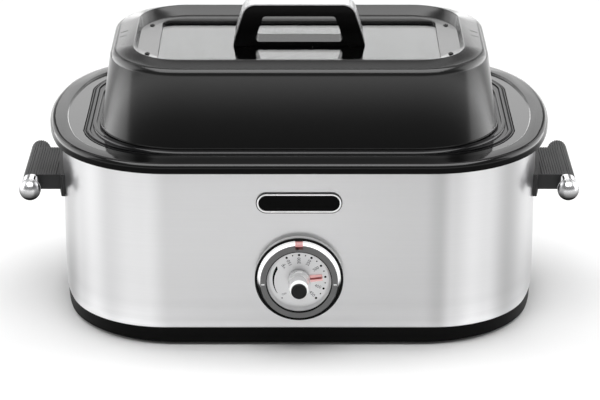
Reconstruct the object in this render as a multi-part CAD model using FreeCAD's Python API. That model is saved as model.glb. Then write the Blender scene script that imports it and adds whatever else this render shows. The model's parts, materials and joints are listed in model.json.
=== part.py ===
import FreeCAD, Part
import math
import os

V = FreeCAD.Vector
X_AXIS = V(1, 0, 0)
Y_AXIS = V(0, 1, 0)
Z_AXIS = V(0, 0, 1)

# Electric roaster oven. Millimetres, Z up, the front faces -Y. Lengths named half_ run from the middle.

# Body: straight front and back, round corners, gently bowed ends.
body_half_x = 254.0
body_half_y = 164.0
body_corner_r = 107.0
body_end_r = 290.0
wrap_bottom_z = 20.4
rim_bottom_z = 195.0
wrap_wall = 1.0
wrap_foot_width = 12.0

# Base ring, bottom plate and feet
base_gap_z = 3.0
base_corner_r = 124.0
base_inset_top = 0.8
base_inset_bottom = 2.0
base_wall = 2.6
base_ledge = 2.6
base_ledge_width = 22.0
plate_wall = 1.2
plate_play = 1.0
foot_r = 10.0
foot_x = 165.0
foot_y = 105.0
foot_head_pocket_r = 5.4
foot_floor = 6.0
screw_r = 1.9
screw_head_r = 4.2
screw_head_h = 2.2
screw_play = 0.3
screw_reach = 4.0
base_screw_inset = 8.6
base_screw_x = 90.0

# Top rim: the frame that the pan rests in
rim_overhang = 12.0
rim_corner_r = 113.0
rim_top_z = 205.6
rim_skirt_wall = 2.5
rim_roll = 6.0
rim_ledge_drop = 2.2
rim_ledge_inset = 19.0
rim_skin = 2.0

# Roasting pan
pan_half_x = 198.0
pan_half_y = 116.0
pan_corner_r = 72.0
pan_taper = 9.0
pan_floor_z = 64.0
pan_wall = 1.6
pan_flange_half_x = 226.0
pan_flange_half_y = 143.0
pan_flange_corner_r = 90.0
pan_flange_side_y = 68.0
pan_flange_wall = 2.0
pan_play = 1.0
pan_bead_width = 2.4
pan_bead_height = 1.2
pan_bead_inset = 3.2
seat_bead_gap = 3.4
seat_bead_width = 3.6
seat_bead_height = 2.6
tub_floor_round = 14.0

# Heating well under the pan
well_gap = 6.5
well_wall = 1.2
well_flange = 10.0
well_floor_gap = 11.0
band_wall = 3.0
band_gap = 0.2
band_bottom_z = 66.0
band_height = 44.0
clamp_length = 46.0
clamp_wall = 1.6
blanket_gap = 0.4
blanket_wall = 11.0
blanket_bottom_z = 58.0
blanket_top_z = 186.0
blanket_window_half_x = 46.0
blanket_window_top_z = 132.0
post_r = 4.0
post_x = 130.0
post_y = 62.0

# Thermostat and its sensing bulb
dial_z = 78.0
bracket_half_x = 34.0
bracket_half_z = 27.0
bracket_wall = 1.5
thermostat_half_x = 17.0
thermostat_half_z = 16.0
thermostat_depth = 16.0
shaft_r = 3.0
shaft_play = 0.06
shaft_depth = 12.0
hole_play = 1.2
bulb_r = 3.0
bulb_length = 66.0
capillary_r = 1.0
capillary_bend_r = 9.0
bulb_clip_length = 18.0
bulb_clip_wall = 1.2
lamp_r = 3.0
lamp_length = 16.0

# Dial, from the body outwards
bezel_r = 45.6
bezel_wall = 2.7
bezel_floor = 2.0
bezel_proud = 8.2
face_proud = 7.1
cone_foot_r = 42.7
cone_wall = 1.4
ring_r = 39.9
ring_inner_r = 33.8
ring_wall = 2.4
ring_proud = 15.3
face_flat_r = 29.0
face_wall = 1.4
face_boss_r = 9.0
lens_half_width = 3.9
lens_inner_r = 36.0
lens_outer_r = 42.2
dial_play = 0.25

# Knob: pointer, skirt, body, collar and cap
knob_gap = 0.8
skirt_r = 11.5
skirt_height = 6.2
knob_body_r = 10.8
knob_front_r = 10.2
collar_height = 4.6
collar_foot_r = 9.9
knob_proud = 30.3
cap_proud = 33.7
cap_r = 8.05
pointer_half_width = 0.7
pointer_reach = 23.5
pointer_height = 1.2
pointer_lift = 0.6
pointer_angle = 84.0

# Badge
badge_z = 159.8
badge_half_x = 44.1
badge_half_z = 11.1
badge_proud = 2.6
badge_band = 2.6
badge_plate_proud = 1.7

# Side handles
handle_z = 136.0
grip_x = 285.0
grip_r = 10.5
grip_front_y = -48.0
grip_back_y = 62.0
arm_front_y = -50.0
arm_back_y = 37.0
arm_bottom_z = 130.0
arm_top_z = 146.6
flange_wall = 4.2
flange_gap = 0.1
flange_front_y = -58.0
flange_back_y = 48.0
flange_bottom_z = 125.6
flange_top_z = 150.0
ferrule_r = 11.4
ferrule_length = 15.0
ferrule_wall = 1.6
ball_r = 11.3
ball_cut = 2.4
rod_r = 3.0
rod_end_cover = 4.0
handle_screw_front_y = -34.0
handle_screw_back_y = 22.0
handle_screw_z = 138.0
handle_screw_reach = 22.0

# Lid shell
lid_half_x = 196.8
lid_half_y = 117.5
lid_corner_r = 76.0
lid_flare = 12.5
lid_foot_height = 3.0
lid_foot_lip = 1.2
lid_wall = 2.0
shoulder_z = 286.5
shoulder_r = 7.0
crown_z = 291.0
crown_half_x = 172.0
crown_half_y = 97.5
crown_corner_r = 50.0
recess_half_x = 169.5
recess_half_y = 87.2
recess_corner_r = 58.0
recess_depth = 9.0
vent_x = 186.0
vent_y = 10.0
vent_length = 9.0
vent_width = 1.8

# Window, gasket, retainer, lid screws
window_half_x = 147.6
window_half_y = 66.0
window_corner_r = 9.0
glass_overlap = 6.0
glass_wall = 4.0
gasket_wall = 0.8
retainer_play = 0.5
retainer_half_x = 166.0
retainer_half_y = 80.0
retainer_corner_r = 40.0
retainer_floor = 2.0
lid_screw_x = 158.3
lid_screw_y = 49.5
lid_screw_r = 1.6
lid_screw_head_r = 2.7
lid_screw_head_h = 1.4

# Lid handle
bar_half_depth = 14.0
handle_foot_half_x = 70.7
handle_knee_half_x = 68.0
handle_knee_height = 10.8
handle_top_half_x = 57.2
handle_height = 45.8
handle_top_r = 15.0
handle_bar = 13.0
opening_foot_half_x = 48.0
opening_top_half_x = 38.2
opening_floor = 4.6
opening_r = 4.0
trim_wall = 1.5
trim_half_depth = 12.6
handle_screw_x = 56.0
handle_bolt_r = 2.4
washer_r = 7.0
washer_wall = 1.2
bolt_reach = 9.0

# Cord gland and terminal block at the back
gland_x = 115.0
gland_z = 46.0
gland_r = 10.0
gland_neck_r = 7.0
gland_bore_r = 3.8
gland_proud = 9.0
gland_inside = 8.0
gland_grip = 2.0
block_half_x = 20.0
block_depth = 16.0
block_height = 14.0
block_gap = 26.0

# Roasting rack
rack_wire_r = 1.8
rack_loop_wire_r = 1.5
rack_leg_height = 9.0
rack_play = 9.0
rack_corner_r = 50.0
rack_bar_count = 13
rack_bar_pitch = 25.0
rack_foot_x = 110.0
rack_foot_y = 60.0
rack_loop_half_y = 38.0
rack_loop_height = 60.0

shoulder_steps = 4
sink = 1.0
through = 400.0

# Places that follow from the sizes above
body_front_y = -body_half_y
ledge_top_z = wrap_bottom_z
plate_top_z = wrap_bottom_z - base_ledge
plate_bottom_z = plate_top_z - plate_wall
rim_ledge_z = rim_top_z - rim_ledge_drop
pan_flange_z = rim_ledge_z - pan_flange_wall
rim_under_z = pan_flange_z - rim_skin
well_half_x = pan_half_x + pan_wall + well_gap
well_half_y = pan_half_y + pan_wall + well_gap
well_corner_r = pan_corner_r + pan_wall + well_gap
well_floor_z = pan_floor_z - pan_wall - well_floor_gap
well_under_z = well_floor_z - well_wall
lid_seat_z = rim_ledge_z
recess_floor_z = crown_z - recess_depth
recess_under_z = recess_floor_z - lid_wall
glass_top_z = recess_under_z - gasket_wall
glass_bottom_z = glass_top_z - glass_wall
handle_knee_z = glass_top_z + handle_knee_height
handle_top_z = glass_top_z + handle_height
runner_z = pan_floor_z + rack_leg_height
rack_bar_z = runner_z + 2 * rack_wire_r
rack_frame_z = rack_bar_z + 2 * rack_wire_r
knob_front_y = body_front_y - face_proud - cap_proud
gland_back_y = body_half_y + gland_proud
rim_back_y = body_half_y + rim_overhang
rear_y = max(gland_back_y, rim_back_y)
frame_shift = V(0, -(knob_front_y + rear_y) / 2, 0)


def export(name, shape):
    shape.translated(frame_shift).exportStep("parts/" + name + ".step")


def cylinder(radius, base, tip):
    run = tip.sub(base)
    return Part.makeCylinder(radius, run.Length, base, run)


def block(low, high):
    size = high.sub(low)
    return Part.makeBox(size.x, size.y, size.z, low)


def arc(first, middle, last):
    return Part.Arc(first, middle, last).toShape()


def line(first, last):
    return Part.LineSegment(first, last).toShape()


def face_up(wire, height):
    return Part.Face(wire).extrude(V(0, 0, height))


def ruled(wires):
    return Part.makeLoft(wires, True, True)


def fused(shapes):
    return shapes[0].multiFuse(shapes[1:]).removeSplitter()


def mirrored_x(shape):
    return shape.mirror(V(0, 0, 0), X_AXIS)


def both_sides(shape):
    return Part.makeCompound([shape, mirrored_x(shape)])


def corner_arc(first, last, centre, radius):
    middle = first.add(last).multiply(0.5).sub(centre)
    return arc(first, centre.add(middle.normalize().multiply(radius)), last)


def corner_centre_x(base_r):
    return body_half_x - body_end_r + math.sqrt((body_end_r - base_r) ** 2 - (body_half_y - base_r) ** 2)


def bowed(grow, z, base_r=body_corner_r):
    """Outline of the body grown by a distance, all of whose arcs stay tangent."""
    half_x = body_half_x + grow
    half_y = body_half_y + grow
    corner_r = base_r + grow
    end_centre_x = body_half_x - body_end_r
    rise = body_half_y - base_r
    front_x = corner_centre_x(base_r)
    run = front_x - end_centre_x
    end_r = body_end_r + grow
    reach = end_r / math.hypot(run, rise)
    join = V(end_centre_x + run * reach, rise * reach, z)
    edges = []
    for sx, sy in ((1, 1), (-1, 1), (-1, -1), (1, -1)):
        flat = V(sx * front_x, sy * half_y, z)
        end = V(sx * join.x, sy * join.y, z)
        centre = V(sx * front_x, sy * rise, z)
        corner = corner_arc(flat, end, centre, corner_r)
        side = arc(end, V(sx * half_x, 0, z), V(sx * join.x, -sy * join.y, z))
        straight = line(flat, V(-sx * front_x, sy * half_y, z))
        edges += [corner] + ([side] if sx == sy else [straight])
    return Part.Wire(Part.__sortEdges__(edges))


def rim_outline(grow, z):
    return bowed(rim_overhang + grow, z, rim_corner_r)


def rounded(half_x, half_y, corner_r, z, side_y=None):
    """Rectangle with round corners; side_y cuts the corner arcs short at straight ends."""
    side = half_y - corner_r if side_y is None else side_y
    drop = side - (half_y - corner_r)
    front_x = half_x - math.sqrt(corner_r ** 2 - drop ** 2)
    edges = []
    for sx, sy in ((1, 1), (-1, 1), (-1, -1), (1, -1)):
        flat = V(sx * front_x, sy * half_y, z)
        end = V(sx * half_x, sy * side, z)
        centre = V(sx * front_x, sy * (half_y - corner_r), z)
        edges.append(corner_arc(flat, end, centre, corner_r))
        if sx == sy:
            edges.append(line(end, V(end.x, -end.y, z)))
        else:
            edges.append(line(flat, V(-flat.x, flat.y, z)))
    return Part.Wire(Part.__sortEdges__(edges))


def lid_outline(grow, z):
    return rounded(lid_half_x + grow, lid_half_y + grow, lid_corner_r + grow, z)


def crown_outline(grow, z):
    return rounded(crown_half_x + grow, crown_half_y + grow, crown_corner_r + grow, z)


def recess_outline(grow, z):
    return rounded(recess_half_x + grow, recess_half_y + grow, recess_corner_r + grow, z)


def pan_flange_outline(grow, z):
    return rounded(pan_flange_half_x + grow, pan_flange_half_y + grow, pan_flange_corner_r + grow, z,
                   pan_flange_side_y)


def band_between(outline, inner, outer, z, height):
    return face_up(outline(outer, z), height).cut(face_up(outline(inner, z), height))


def tub(half_x, half_y, corner_r, taper, top_z, floor_z):
    """Solid of a tapering tub with a rounded floor edge."""
    depth = top_z - floor_z
    rings = []
    for step in range(shoulder_steps + 1):
        angle = math.pi / 2 * step / shoulder_steps
        inset = taper + tub_floor_round * (1 - math.sin(angle))
        rings.append((inset, floor_z + tub_floor_round * (1 - math.cos(angle))))
    rings.append((0.0, floor_z + depth))
    return ruled([rounded(half_x - inset, half_y - inset, corner_r - inset, z) for inset, z in rings])


def well_inset(z):
    return pan_taper * (rim_under_z - z) / (rim_under_z - well_floor_z - tub_floor_round)


def well_sleeve(inner, outer, bottom_z, top_z):
    def shell(grow):
        rings = []
        for z in (bottom_z, top_z):
            d = grow + well_wall - well_inset(z)
            rings.append(rounded(well_half_x + d, well_half_y + d, well_corner_r + d, z))
        return ruled(rings)
    return shell(outer).cut(shell(inner))


def turned(points, centre_z):
    """Ring about the dial's axis from (radius, distance out of the body) points."""
    corners = [V(r, body_front_y - out, centre_z) for r, out in points]
    profile = Part.Face(Part.makePolygon(corners + corners[:1]))
    return profile.revolve(V(0, 0, centre_z), Y_AXIS, 360)


def base_screw_places():
    inset = base_screw_inset
    front = body_half_y - inset
    places = [V(sx * base_screw_x, sy * front, 0) for sx in (-1, 1) for sy in (-1, 1)]
    return places + [V(sx * (body_half_x - inset), 0, 0) for sx in (-1, 1)]


def foot_places():
    return [V(sx * foot_x, sy * foot_y, 0) for sx in (-1, 1) for sy in (-1, 1)]


def drilled(shape, places, radius):
    for place in places:
        shape = shape.cut(cylinder(radius, place.sub(V(0, 0, through)), place.add(V(0, 0, through))))
    return shape


def make_base_ring():
    outer = ruled([bowed(-base_inset_bottom, base_gap_z, base_corner_r),
                   bowed(-base_inset_top, ledge_top_z)])
    inner = ruled([bowed(-base_inset_bottom - base_wall, base_gap_z - sink, base_corner_r),
                   bowed(-base_inset_top - base_wall, plate_top_z)])
    opening = face_up(bowed(-base_ledge_width, 0), ledge_top_z + sink)
    return drilled(outer.cut(inner).cut(opening), base_screw_places(), screw_r + screw_play)


def make_bottom_plate():
    plate = face_up(bowed(-base_inset_bottom - base_wall - plate_play, plate_bottom_z), plate_wall)
    plate = drilled(plate, base_screw_places(), screw_r + screw_play)
    return drilled(plate, foot_places(), screw_r + screw_play)


def make_feet():
    feet = []
    for place in foot_places():
        foot = cylinder(foot_r, place, place.add(V(0, 0, plate_bottom_z)))
        pocket = cylinder(foot_head_pocket_r, place.sub(V(0, 0, sink)), place.add(V(0, 0, foot_floor)))
        feet.append(drilled(foot.cut(pocket), [place], screw_r + screw_play))
    return Part.makeCompound(feet)


def screw_up(place, head_z, tip_z):
    head = cylinder(screw_head_r, place.add(V(0, 0, head_z - screw_head_h)), place.add(V(0, 0, head_z)))
    shank = cylinder(screw_r, place.add(V(0, 0, head_z - sink)), place.add(V(0, 0, tip_z)))
    return fused([head, shank])


def make_foot_screws():
    return Part.makeCompound([screw_up(place, foot_floor, plate_top_z + screw_reach)
                              for place in foot_places()])


def make_base_screws():
    tip = wrap_bottom_z + wrap_wall + screw_reach
    return Part.makeCompound([screw_up(place, plate_bottom_z, tip) for place in base_screw_places()])


def handle_screw_places():
    return [V(0, y, handle_screw_z) for y in (handle_screw_front_y, handle_screw_back_y)]


def make_outer_wrap():
    height = rim_under_z - wrap_bottom_z
    wrap = face_up(bowed(0, wrap_bottom_z), height)
    wrap = wrap.cut(face_up(bowed(-wrap_wall, wrap_bottom_z + wrap_wall), height))
    wrap = wrap.cut(face_up(bowed(-wrap_foot_width, wrap_bottom_z - sink), height))
    wrap = drilled(wrap, base_screw_places(), screw_r + screw_play)
    wrap = wrap.cut(cylinder(shaft_r + hole_play, V(0, body_front_y - sink, dial_z), V(0, 0, dial_z)))
    wrap = wrap.cut(lens_block(dial_play, body_front_y + through / 2))
    across_body = V(through, 0, 0)
    for place in handle_screw_places():
        wrap = wrap.cut(cylinder(screw_r + screw_play, place.sub(across_body), place.add(across_body)))
    neck = cylinder(gland_neck_r + dial_play, V(gland_x, 0, gland_z), V(gland_x, through, gland_z))
    return in_sheets(wrap.cut(neck))


def in_sheets(wrap):
    """The wrap as a front sheet, a back sheet and two sheets round each end."""
    corner_x = corner_centre_x(body_corner_r)
    bands = [(-through, -corner_x), (-corner_x, corner_x), (corner_x, through)]
    sheets = []
    for low_x, high_x in bands:
        for low_y, high_y in ((-through, 0), (0, through)):
            sheets.append(wrap.common(block(V(low_x, low_y, 0), V(high_x, high_y, rim_top_z))))
    return Part.makeCompound(sheets)


def make_top_rim():
    inset_steps = []
    for step in range(shoulder_steps + 1):
        angle = math.pi / 2 * step / shoulder_steps
        drop = rim_roll * 0.75 * (1 - math.sin(angle))
        inset_steps.append((rim_roll * (1 - math.cos(angle)), rim_top_z - drop))
    rim = ruled([rim_outline(0, rim_bottom_z)] + [rim_outline(-inset, z) for inset, z in inset_steps])
    ledge = face_up(rim_outline(-rim_ledge_inset, rim_ledge_z), through)
    under = face_up(rim_outline(-rim_skirt_wall, rim_bottom_z - sink), rim_under_z - rim_bottom_z + sink)
    seat = face_up(pan_flange_outline(0, pan_flange_z), through)
    opening = face_up(rounded(well_half_x, well_half_y, well_corner_r, rim_bottom_z), through)
    return rim.cut(ledge).cut(under).cut(seat).cut(opening)


def make_well():
    outer = tub(well_half_x + well_wall, well_half_y + well_wall, well_corner_r + well_wall, pan_taper,
                rim_under_z, well_under_z)
    inner = tub(well_half_x, well_half_y, well_corner_r, pan_taper, rim_under_z, well_floor_z)
    grow = well_wall + well_flange
    flange = face_up(rounded(well_half_x + grow, well_half_y + grow, well_corner_r + grow,
                             rim_under_z - well_wall), well_wall)
    return fused([outer, flange]).cut(inner)


def make_heating_band():
    return well_sleeve(band_gap, band_gap + band_wall, band_bottom_z, band_bottom_z + band_height)


def make_band_clamps():
    clamps = []
    low = band_bottom_z + clamp_wall
    high = band_bottom_z + band_height - clamp_wall
    sleeve = well_sleeve(band_gap * 2 + band_wall, band_gap * 2 + band_wall + clamp_wall, low, high)
    for sx in (-1, 1):
        middle = sx * post_x
        window = block(V(middle - clamp_length / 2, 0, low), V(middle + clamp_length / 2, through, high))
        clamps.append(sleeve.common(window))
    return Part.makeCompound(clamps)


def make_blanket():
    inner = band_gap * 2 + band_wall + clamp_wall + blanket_gap
    blanket = well_sleeve(inner, inner + blanket_wall, blanket_bottom_z, blanket_top_z)
    window = block(V(-blanket_window_half_x, -through, 0),
                   V(blanket_window_half_x, 0, blanket_window_top_z))
    return blanket.cut(window)


def make_well_posts():
    return Part.makeCompound([cylinder(post_r, V(sx * post_x, sy * post_y, plate_top_z),
                                       V(sx * post_x, sy * post_y, well_under_z))
                              for sx in (-1, 1) for sy in (-1, 1)])


def panel_back_y():
    return body_front_y + wrap_wall


def make_thermostat_bracket():
    back = panel_back_y() + bracket_wall
    plate = block(V(-bracket_half_x, panel_back_y(), dial_z - bracket_half_z),
                  V(bracket_half_x, back, dial_z + bracket_half_z))
    return plate.cut(cylinder(shaft_r + hole_play, V(0, panel_back_y() - sink, dial_z),
                              V(0, back + sink, dial_z)))


def thermostat_back_y():
    return panel_back_y() + bracket_wall + thermostat_depth


def make_thermostat_body():
    front = panel_back_y() + bracket_wall
    body = block(V(-thermostat_half_x, front, dial_z - thermostat_half_z),
                 V(thermostat_half_x, thermostat_back_y(), dial_z + thermostat_half_z))
    bore = cylinder(shaft_r + shaft_play, V(0, front - sink, dial_z), V(0, front + shaft_depth, dial_z))
    return body.cut(bore)


def bulb_z():
    return well_under_z - bulb_r - band_gap


def capillary_y():
    return panel_back_y() + bracket_wall + thermostat_depth / 2


def bulb_front_y():
    return capillary_y() + capillary_bend_r * 2.5


def make_capillary():
    bottom = dial_z - thermostat_half_z
    turn = V(0, capillary_y(), bulb_z())
    top_end = V(0, capillary_y(), bottom)
    bend_top = turn.add(V(0, 0, capillary_bend_r))
    bend_end = turn.add(V(0, capillary_bend_r, 0))
    centre = turn.add(V(0, capillary_bend_r, capillary_bend_r))
    path = Part.Wire([line(top_end, bend_top), corner_arc(bend_top, bend_end, centre, capillary_bend_r),
                      line(bend_end, V(0, bulb_front_y(), bulb_z()))])
    section = Part.Wire(Part.makeCircle(capillary_r, top_end, Z_AXIS))
    return path.makePipeShell([section], True, False)


def make_sensing_bulb():
    return cylinder(bulb_r, V(0, bulb_front_y(), bulb_z()), V(0, bulb_front_y() + bulb_length, bulb_z()))


def make_bulb_clip():
    middle = bulb_front_y() + bulb_length / 2
    half = bulb_clip_length / 2
    reach = bulb_r + bulb_clip_wall
    wings = block(V(-reach * 2.5, middle - half, well_under_z - bulb_clip_wall),
                  V(reach * 2.5, middle + half, well_under_z))
    saddle = cylinder(reach, V(0, middle - half, bulb_z()), V(0, middle + half, bulb_z()))
    clip = fused([wings, saddle.cut(block(V(-reach, middle - half, well_under_z),
                                          V(reach, middle + half, well_under_z + reach)))])
    return clip.cut(cylinder(bulb_r + band_gap / 2, V(0, middle - through, bulb_z()),
                             V(0, middle + through, bulb_z())))


def lens_block(grow, back_y):
    front = body_front_y - ring_proud
    return block(V(-lens_half_width - grow, front - sink, dial_z + lens_inner_r - grow),
                 V(lens_half_width + grow, back_y, dial_z + lens_outer_r + grow))


def cone_points(grow):
    slope_top = ring_proud - ring_wall
    return [(cone_foot_r + grow, bezel_floor), (cone_foot_r + grow, bezel_proud - dial_play),
            (ring_r + grow, slope_top), (ring_r + grow, ring_proud)]


def make_pilot_lens():
    lens = lens_block(0, panel_back_y() + bracket_wall)
    keep = turned([(0, -through)] + [(lens_inner_r - sink, -through)] + [(cone_foot_r, -through)]
                  + cone_points(0) + [(0, ring_proud)], dial_z)
    return lens.common(keep)


def make_pilot_lamp():
    centre_z = dial_z + (lens_inner_r + lens_outer_r) / 2
    start = panel_back_y() + bracket_wall
    return cylinder(lamp_r, V(0, start, centre_z), V(0, start + lamp_length, centre_z))


def make_dial_bezel():
    bore_r = shaft_r + hole_play
    lip_r = bezel_r - bezel_wall
    points = [(bore_r, 0), (bezel_r, 0), (bezel_r, bezel_proud), (lip_r, bezel_proud), (lip_r, bezel_floor),
              (bore_r, bezel_floor)]
    return turned(points, dial_z).cut(lens_block(dial_play, body_front_y + through / 2))


def make_dial_cone():
    outside = cone_points(0)[:3]
    inside = [(r - cone_wall, out) for r, out in reversed(outside)]
    return turned(outside + inside, dial_z).cut(lens_block(dial_play, body_front_y + through / 2))


def make_dial_ring():
    skirt_outer = ring_r - cone_wall - dial_play
    skirt_inner = skirt_outer - ring_wall
    points = [(ring_inner_r, ring_proud), (ring_r, ring_proud), (ring_r, ring_proud - ring_wall),
              (skirt_outer, ring_proud - ring_wall), (skirt_outer, bezel_floor), (skirt_inner, bezel_floor),
              (skirt_inner, ring_proud - ring_wall), (ring_inner_r, ring_proud - ring_wall)]
    return turned(points, dial_z).cut(lens_block(dial_play, body_front_y + through / 2))


def make_dial_face():
    bore_r = shaft_r + hole_play
    rim_out = ring_proud - ring_wall
    back = face_proud - face_wall
    points = [(bore_r, bezel_floor), (face_boss_r, bezel_floor), (face_boss_r, back), (face_flat_r, back),
              (ring_inner_r + face_wall, rim_out), (ring_inner_r, rim_out), (face_flat_r, face_proud),
              (bore_r, face_proud)]
    return turned(points, dial_z)


def skirt_out():
    return face_proud + knob_gap


def make_thermostat_shaft():
    front = panel_back_y() + bracket_wall + shaft_depth - shaft_play
    return cylinder(shaft_r, V(0, front, dial_z), V(0, body_front_y - face_proud - knob_proud / 2, dial_z))


def make_knob_skirt():
    top = skirt_out() + skirt_height
    return turned([(shaft_r, skirt_out()), (skirt_r - sink, skirt_out()), (skirt_r, skirt_out() + sink),
                   (skirt_r, top - sink), (skirt_r - sink, top), (shaft_r, top)], dial_z)


def make_knob_body():
    foot = skirt_out() + skirt_height
    front = face_proud + knob_proud
    shaft_end = face_proud + knob_proud / 2
    return turned([(shaft_r, foot), (knob_body_r, foot), (knob_front_r, front - collar_height),
                   (0, front - collar_height), (0, shaft_end), (shaft_r, shaft_end)], dial_z)


def make_knob_collar():
    front = face_proud + knob_proud
    back = front - collar_height
    return turned([(cap_r, back), (collar_foot_r, back), (cap_r + sink / 2, front), (cap_r, front)], dial_z)


def make_knob_cap():
    back = face_proud + knob_proud - collar_height
    front = face_proud + cap_proud
    return turned([(0, back), (cap_r, back), (cap_r, front - sink * 1.5), (cap_r - sink, front - sink / 2),
                   (cap_r / 2, front), (0, front)], dial_z)


def make_knob_pointer():
    low = skirt_out() + pointer_lift
    front = body_front_y - low - pointer_height
    bar = block(V(-pointer_half_width, front, dial_z), V(pointer_half_width, body_front_y - low,
                                                         dial_z + pointer_reach))
    bar = bar.cut(cylinder(skirt_r, V(0, front - sink, dial_z), V(0, body_front_y, dial_z)))
    bar.rotate(V(0, 0, dial_z), Y_AXIS, pointer_angle)
    return bar


def pill(half_x, half_z, out_from, out_to):
    straight = half_x - half_z
    front = body_front_y - out_to
    size = out_to - out_from
    middle = block(V(-straight, front, badge_z - half_z), V(straight, front + size, badge_z + half_z))
    ends = [Part.makeCylinder(half_z, size, V(sx * straight, front, badge_z), Y_AXIS) for sx in (-1, 1)]
    return fused([middle] + ends)


def make_badge_frame():
    hole = pill(badge_half_x - badge_band, badge_half_z - badge_band, -sink, badge_proud + sink)
    return pill(badge_half_x, badge_half_z, 0, badge_proud).cut(hole)


def make_badge_plate():
    return pill(badge_half_x - badge_band, badge_half_z - badge_band, 0, badge_plate_proud)


def make_handle_flange():
    height = flange_top_z - flange_bottom_z
    shell = band_between(bowed, flange_gap, flange_gap + flange_wall, flange_bottom_z, height)
    window = block(V(0, flange_front_y, flange_bottom_z), V(through, flange_back_y, flange_top_z))
    flange = shell.common(window)
    for place in handle_screw_places():
        flange = flange.cut(cylinder(screw_r + screw_play, place, place.add(V(through, 0, 0))))
    return flange


def handle_axis(y):
    return V(grip_x, y, handle_z)


def make_handle_grip():
    grip = cylinder(grip_r, handle_axis(grip_front_y), handle_axis(grip_back_y))
    arm = block(V(body_half_x / 2, arm_front_y + sink * 2, arm_bottom_z), V(grip_x, arm_back_y, arm_top_z))
    arm = arm.cut(face_up(bowed(flange_gap * 2 + flange_wall, arm_bottom_z - sink), through))
    grip = fused([grip, arm]).cut(cylinder(rod_r + dial_play / 2, handle_axis(-through), handle_axis(
        grip_back_y - rod_end_cover)))
    for place in handle_screw_places():
        reach = place.add(V(body_half_x - wrap_wall + handle_screw_reach, 0, 0))
        grip = grip.cut(cylinder(screw_r, place, reach))
    return grip


def ball_y():
    return grip_front_y - ferrule_length - ball_cut


def make_handle_ferrule():
    front = grip_front_y - ferrule_length
    ferrule = cylinder(ferrule_r, handle_axis(front), handle_axis(grip_front_y))
    pocket = cylinder(ferrule_r - ferrule_wall, handle_axis(front + ferrule_wall * 2),
                      handle_axis(grip_front_y + sink))
    bore = cylinder(rod_r + dial_play / 2, handle_axis(front - sink), handle_axis(0))
    return ferrule.cut(pocket).cut(bore)


def make_handle_ball():
    ball = Part.makeSphere(ball_r, handle_axis(ball_y()))
    keep = cylinder(ball_r * 2, handle_axis(ball_y() - ball_r * 2),
                    handle_axis(grip_front_y - ferrule_length))
    bore = cylinder(rod_r, handle_axis(ball_y()), handle_axis(0))
    return ball.common(keep).cut(bore)


def make_handle_rod():
    return cylinder(rod_r, handle_axis(ball_y()), handle_axis(grip_back_y - rod_end_cover - sink / 2))


def bow_x(y, grow):
    return body_half_x - body_end_r + math.sqrt((body_end_r + grow) ** 2 - y ** 2)


def make_handle_screws():
    screws = []
    for place in handle_screw_places():
        seat = place.add(V(bow_x(abs(place.y) + screw_head_r, -wrap_wall) - band_gap, 0, 0))
        head = cylinder(screw_head_r, seat.sub(V(screw_head_h, 0, 0)), seat)
        shank = cylinder(screw_r, seat.sub(V(sink, 0, 0)),
                         place.add(V(body_half_x - wrap_wall + handle_screw_reach - sink, 0, 0)))
        screws.append(fused([head, shank]))
    return Part.makeCompound(screws)


def shoulder_rings(grow, lift):
    rings = [lid_outline(lid_flare + grow, lid_seat_z)]
    lean = lid_flare / (shoulder_z - lid_seat_z)
    for step in range(shoulder_steps + 1):
        angle = math.pi / 2 * step / shoulder_steps
        drop = shoulder_r * (1 - math.sin(angle))
        inset = shoulder_r * (1 - math.cos(angle)) - lean * drop
        rings.append(lid_outline(grow - inset, shoulder_z - drop + lift))
    return rings


def crown(grow, top_z):
    foot = lid_outline(-shoulder_r + grow, top_z - (crown_z - shoulder_z))
    return ruled([foot, crown_outline(-grow, top_z)])


def dish(grow, drop):
    """The recess in the lid's top, or with a growth the shape that its wall fills."""
    return ruled([recess_outline(grow, recess_floor_z - drop), crown_outline(grow, crown_z + sink)])


def make_lid_shell():
    outer = fused([ruled(shoulder_rings(0, 0)), crown(0, crown_z)])
    lip = band_between(lid_outline, 0, lid_flare + lid_foot_lip, lid_seat_z, lid_foot_height)
    hollow_foot = lid_outline(lid_flare - lid_wall, lid_seat_z - sink)
    hollow = ruled([hollow_foot] + shoulder_rings(-lid_wall, -lid_wall)[1:])
    hollow = fused([hollow, crown(-lid_wall, crown_z - lid_wall)])
    shell = fused([outer, lip]).cut(hollow.cut(dish(lid_wall, lid_wall))).cut(dish(0, 0))
    shell = shell.cut(face_up(rounded(window_half_x, window_half_y, window_corner_r, recess_under_z - sink),
                              recess_depth))
    shell = drilled(shell, lid_screw_places(), lid_screw_r + screw_play)
    vent = block(V(vent_x - vent_length / 2, vent_y - vent_width / 2, recess_floor_z),
                 V(vent_x + vent_length / 2, vent_y + vent_width / 2, crown_z + sink))
    return shell.cut(both_sides(vent))


def lid_screw_places():
    return [V(sx * lid_screw_x, sy * lid_screw_y, 0) for sx in (-1, 1) for sy in (-1, 1)]


def handle_bolt_places():
    return [V(sx * handle_screw_x, 0, 0) for sx in (-1, 1)]


def window_outline(grow, z):
    return rounded(window_half_x + grow, window_half_y + grow, window_corner_r + grow, z)


def make_window_gasket():
    return band_between(window_outline, 0, glass_overlap, glass_top_z, gasket_wall)


def make_window_glass():
    glass = face_up(window_outline(glass_overlap, glass_bottom_z), glass_wall)
    return drilled(glass, handle_bolt_places(), handle_bolt_r + screw_play)


def make_glass_retainer():
    low = glass_bottom_z - retainer_floor
    frame = face_up(rounded(retainer_half_x, retainer_half_y, retainer_corner_r, low), recess_under_z - low)
    frame = frame.cut(face_up(window_outline(glass_overlap + retainer_play, glass_bottom_z), through))
    frame = frame.cut(face_up(window_outline(0, low - sink), through))
    return drilled(frame, lid_screw_places(), lid_screw_r)


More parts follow.
